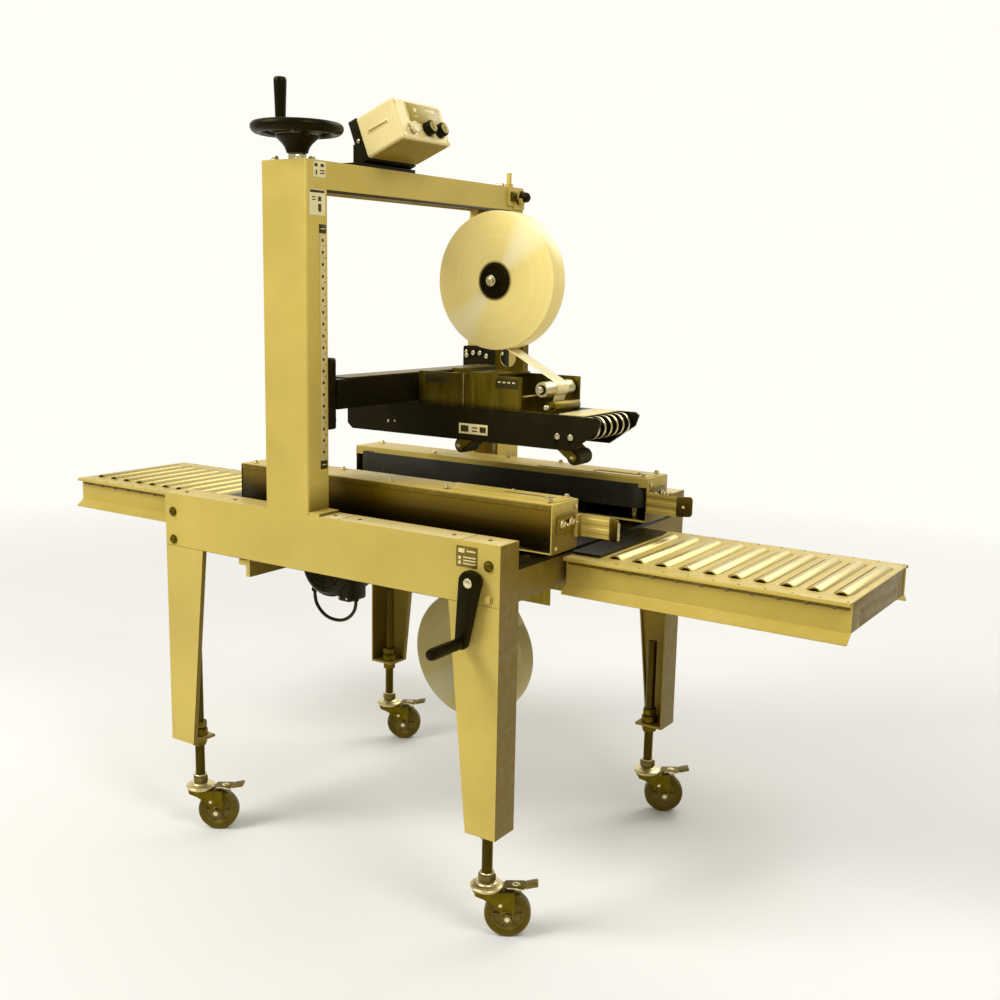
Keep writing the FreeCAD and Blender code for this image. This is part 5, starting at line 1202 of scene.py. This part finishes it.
def control_box():
    form = Form(TILT)
    # painted shade: the underside plate uses the darker shaded khaki
    form.use("shaded").box((0.2, 0, -44.2), (86, 150, 1.6), 0.5)
    form.use("legend").box((51.2, 14, 15), (1.4, 112, 42), 0.4)
    form.box((52, 14, 15), (0.7, 106, 37), 0.2)
    form.use("pale")
    bars(form, "x", (52.4, 0, 0), ((-18, 22, 9, 8), (34, 25, 34, 6), (36, 14, 30, 2), (36, 9, 30, 2),
            (-20, 8, 14, 1.6)), 0.3, 0.05)
    form.use("ink")
    for centre, first, last in ((KNOBS["speed_knob"], -225, 45), (KNOBS["power_knob"], -180, 0)):
        for k in range(9):
            turn = turned(-(first + (last - first) * k / 8), "X")
            spot = Vector((50.8, centre, KNOB_UP)) + turn @ Vector((0, 18.5, 0))
            form.box(spot, (0.6, 3, 0.8), 0.1, turn)
    for side in (-1, 1):
        form.use("cream").box((-2, side * 82.6, 4), (58, 1.6, 9), 0.7)
        # painted shade: darker inlay standing for the shade in the vent's slot
        form.use("legend").box((-2, side * 83.1, 4), (52, 1.2, 5), 0.5)
    form.use("bright")
    for y in (-74, 74):
        for z in (-35, 35):
            cap_screw(form, (PANEL_FACE, y, z), "x", 3, 1.6)
    form.ring((51.2, -42, -20), "x", 14.5, 12.4, 1.6, 0.5)
    form.finish("control_box_trim", "frame", "cream_paint")
    for name, across in KNOBS.items():
        knob = Form(TILT @ at(PANEL_FACE, across, KNOB_UP)).use("black_plastic")
        knob.lathe((0, 0, 0), "x", [(0, -21), (4, -21), (4, 1.2), (15, 1.2), (15.4, 2.4), (14.2, 6),
                (13.4, 16), (12.4, 17.8), (0, 18)], 48)
        for k in range(20):
            spin = turned(18 * k, "X")
            knob.box(spin @ Vector((10.5, 0, 13.6)), (11, 1.6, 1.4), 0.5, spin)
        knob.use("legend").lathe((0, 0, 0), "x", [(0, 17.8), (10.6, 17.8), (10.4, 18.6), (0, 18.9)], 40)
        knob.box((19.4, 0, 3), (2.8, 4, 18), 0.8)
        knob.use("label").box((20.9, 0, 7), (0.4, 1.2, 9), 0.1)
        knob.finish(name + "_cap", name, "black_plastic", [name])
    button = Form(TILT @ at(*BUTTON_SPOT)).use("pale_plastic")
    button.lathe((0, 0, 0), "x", [(0, -21), (4, -21), (4, 3), (11.2, 3), (12, 4), (12, 9), (11, 10.6),
            (8.6, 10.9), (7.6, 10.2), (4, 9.8), (0, 9.7)], 48)
    button.finish("start_button_cap", "start_button", "button_plastic", ["start_button"])
    back = Form(TILT).use("bright")
    for y in (-60, 0, 60):
        hex_bolt(back, (-72.6, y, -10), "x", 10, 4, -1)
    cap_screw(back, (-60, -81, -2), "y", 4.4, 3, -1)
    back.finish("bracket_screws", "frame", "bright_steel")


# ---------------------------------------------------------------- motor and lead

MOTOR_X, MOTOR_Z, MOTOR_Y = -172, 629, CY - 170
TERMINAL_Y = CY - 138
LEAD_START = (MOTOR_X - 64, TERMINAL_Y, MOTOR_Z - 77)
LEAD_RUNS = ((20, -90), (26, -56), (26, -32), (26, -8), (26, 8), (26, 32), (26, 56))


def lead_route():
    points = [LEAD_START]
    for run, heading in LEAD_RUNS:
        x, y, z = points[-1]
        points.append((x + run * math.cos(math.radians(heading)), y,
                z + run * math.sin(math.radians(heading))))
    points.append((points[-1][0], points[-1][1], MOTOR_Z - 81))
    return points


LEAD = lead_route()


def motor():
    x, z = MOTOR_X, MOTOR_Z
    form = Form().use("black")
    form.lathe((x, MOTOR_Y, z), "y", [(0, 0), (67, 0), (72.5, 3), (74, 8), (74, 16), (72, 18), (67, 18),
            (67, 78), (72, 78), (74, 80), (74, 90), (0, 90)], 72)
    form.around((x, MOTOR_Y + 48, z), "Y", 36, 70.2, (7.4, 60, 2.4), 0.6)
    form.lathe((x, MOTOR_Y, z), "y", [(0, -14), (46, -14), (60, -11.5), (67, -5), (69, 2), (0, 2)], 64)
    form.use("black_plastic")
    for radius in (16, 27, 38, 49):
        form.ring((x, MOTOR_Y - 13.6, z), "y", radius + 1.2, radius - 1.2, 2.4, 0.6, 56)
    form.around((x, MOTOR_Y - 13.8, z), "Y", 8, 33, (44, 2.2, 2.2), 0.6)
    form.use("black").rod((x, MOTOR_Y - 14, z), "y", 12, 3.4, 1)
    gear = rounded([(-119, -40), (119, -40), (119, 30), (40, 87), (-119, 87)], 14)
    form.plate(gear, 140, at(x - 83, MOTOR_Y + 160, z) @ UPRIGHT, 4)
    for dx, dz in ((-107, -28), (107, -28), (-107, 75), (-30, 75)):
        hex_bolt(form.use("bright"), (x - 83 + dx, MOTOR_Y + 90, z + dz), "y", 11, 5, -1)
    form.use("bright").rod((SHAFT[0], CY, SHAFT[1]), "y", 9, 620, 1)
    form.around((SHAFT[0], CY, SHAFT[1]), "Y", 8, 8.6, (1, 616, 2.4), 0.2)
    form.use("black").box((x + 50, TERMINAL_Y, z - 35), (36, 60, 86), 6, None, 3)
    form.box((x + 50, TERMINAL_Y - 30.6, z - 35), (31, 3, 78), 1.2)
    form.use("bright")
    for dx in (-11, 11):
        for dz in (-33, 33):
            cap_screw(form, (x + 50 + dx, TERMINAL_Y - 32, z - 35 + dz), "y", 2.6, 2, -1)
    for gx, low, high in ((LEAD[0][0], LEAD[0][2], MOTOR_Z - 20), (LEAD[-1][0], LEAD[-1][2], MOTOR_Z - 72)):
        form.use("black_plastic").hexagon((gx, TERMINAL_Y, low + 5), "z", 14, 5)
        form.rod((gx, TERMINAL_Y, (low + high) / 2 + 2), "z", 6.6, high - low - 4, 1)
        form.lathe((gx, TERMINAL_Y, low), "z", [(4.1, 0), (5.6, 0), (6.8, 2.5), (6.8, 5), (4.1, 5)], 32,
                closed=True)
    form.finish("gearmotor_and_shaft", "frame", "cast_aluminium", ["belt_motor"])


def lead():
    curve = bpy.data.curves.new("motor_lead_cable", "CURVE")
    curve.dimensions = "3D"
    spline = curve.splines.new("NURBS")
    spline.points.add(len(LEAD) - 1)
    for point, place in zip(spline.points, LEAD):
        point.co = (*(c * MM for c in place), 1)
    spline.order_u = 3
    spline.use_endpoint_u = True
    spline.resolution_u = 16
    curve.bevel_depth = 4 * MM
    curve.bevel_resolution = 6
    curve.use_fill_caps = True
    curve.materials.append(M["lead"])
    piece = add_to_scene("motor_lead_cable", curve)
    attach(piece, "frame")
    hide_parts("motor_lead")


# ---------------------------------------------------------------- the whole scene

make_camera()
lead()

CAD_LOOKS = {
    # khaki nodes take the painted shade of the inner mask on their +X faces below the bed
    "khaki": "near_side_panel far_side_panel exit_near_leg infeed_near_leg near_mast far_mast top_beam"
             " end_cross_beams",
    # far legs: darker khaki copy as painted shade
    "shaded": "exit_far_leg infeed_far_leg",
    "black": "bed_deck head_frame lift_carriages control_box_bracket",
    "cream": "control_box",
    "sheet": "upper_tape_cartridge upper_roll_bracket lower_tape_cartridge",
    "dark_steel": "lift_chain",
}
for key, names in CAD_LOOKS.items():
    for node in names.split():
        data = NODES[node].data
        data.materials.clear()
        data.materials.append(M[key])
soften()
for end in ENDS:
    table(end)
    for side in SIDES:
        caster(end, side)
for side in SIDES:
    belt_unit(side)
stems()
frame_bolts()
stickers()
mast_clamp()
deck_screws()
rollers()
handwheel()
lift_details()
tape_roll("upper_tape_roll", *UPPER_ROLL, "upper_roll")
tape_roll("lower_tape_roll", *LOWER_ROLL, "lower_roll")
tape_paths()
upper_head()
for arm_name, *arm_place in (("upper_front_arm", 292, 985, 1, -1), ("upper_rear_arm", 188, 985, -1, -1),
        ("lower_front_arm", 214, 702, 1, 1), ("lower_rear_arm", 110, 702, -1, 1)):
    wiping_arm(arm_name, *arm_place)
crank()
control_box()
motor()

FLOOR_REACH = 5.0
BACKDROP = (-0.55, 0.835, 0)


def make_floor():
    """Pale floor that fades out before its edge, so that no horizon shows."""
    r = FLOOR_REACH
    mesh = bpy.data.meshes.new("floor")
    mesh.from_pydata([(-r, -r, 0), (r, -r, 0), (r, r, 0), (-r, r, 0)], [], [(0, 1, 2, 3)])
    floor = add_to_scene("floor", mesh)
    n = Nodes("floor_paint")
    reach = n.add("ShaderNodeVectorMath", operation="LENGTH")
    n.link(n.place, reach.inputs[0])
    n.set(Base_Color=(0.88, 0.87, 0.83), Roughness=0.8, Alpha=n.levels(reach.outputs["Value"], 2.0, 4.6, 1,
            0))
    mesh.materials.append(n.material)


def make_world():
    """Soft even light, brighter on the side of the backdrop."""
    world = bpy.data.worlds.new("studio")
    bpy.context.scene.world = world
    world.use_nodes = True
    tree = world.node_tree
    back = tree.nodes["Background"]
    back.inputs["Color"].default_value = (1.0, 0.985, 0.93, 1)
    toward = tree.nodes.new("ShaderNodeVectorMath")
    toward.operation = "DOT_PRODUCT"
    tree.links.new(tree.nodes.new("ShaderNodeTexCoord").outputs["Generated"], toward.inputs[0])
    toward.inputs[1].default_value = BACKDROP
    level = tree.nodes.new("ShaderNodeMapRange")
    level.interpolation_type = "SMOOTHSTEP"
    for key, value in {"From Min": 0.35, "From Max": 0.80, "To Min": 0.42, "To Max": 1.0}.items():
        level.inputs[key].default_value = value
    tree.links.new(toward.outputs["Value"], level.inputs["Value"])
    tree.links.new(level.outputs["Result"], back.inputs["Strength"])


make_floor()
make_world()
area_light("key", (-2.2, -3.4, 4.2), (0, 0, 0.8), 2.2, 190)
area_light("fill", (1.9, -0.9, 2.9), (0, 0, 1.5), 0.9, 26)
area_light("back", (0.8, 3.4, 3.6), (0, 0, 0.9), 2.5, 60)
bpy.context.scene.view_settings.view_transform = "Standard"
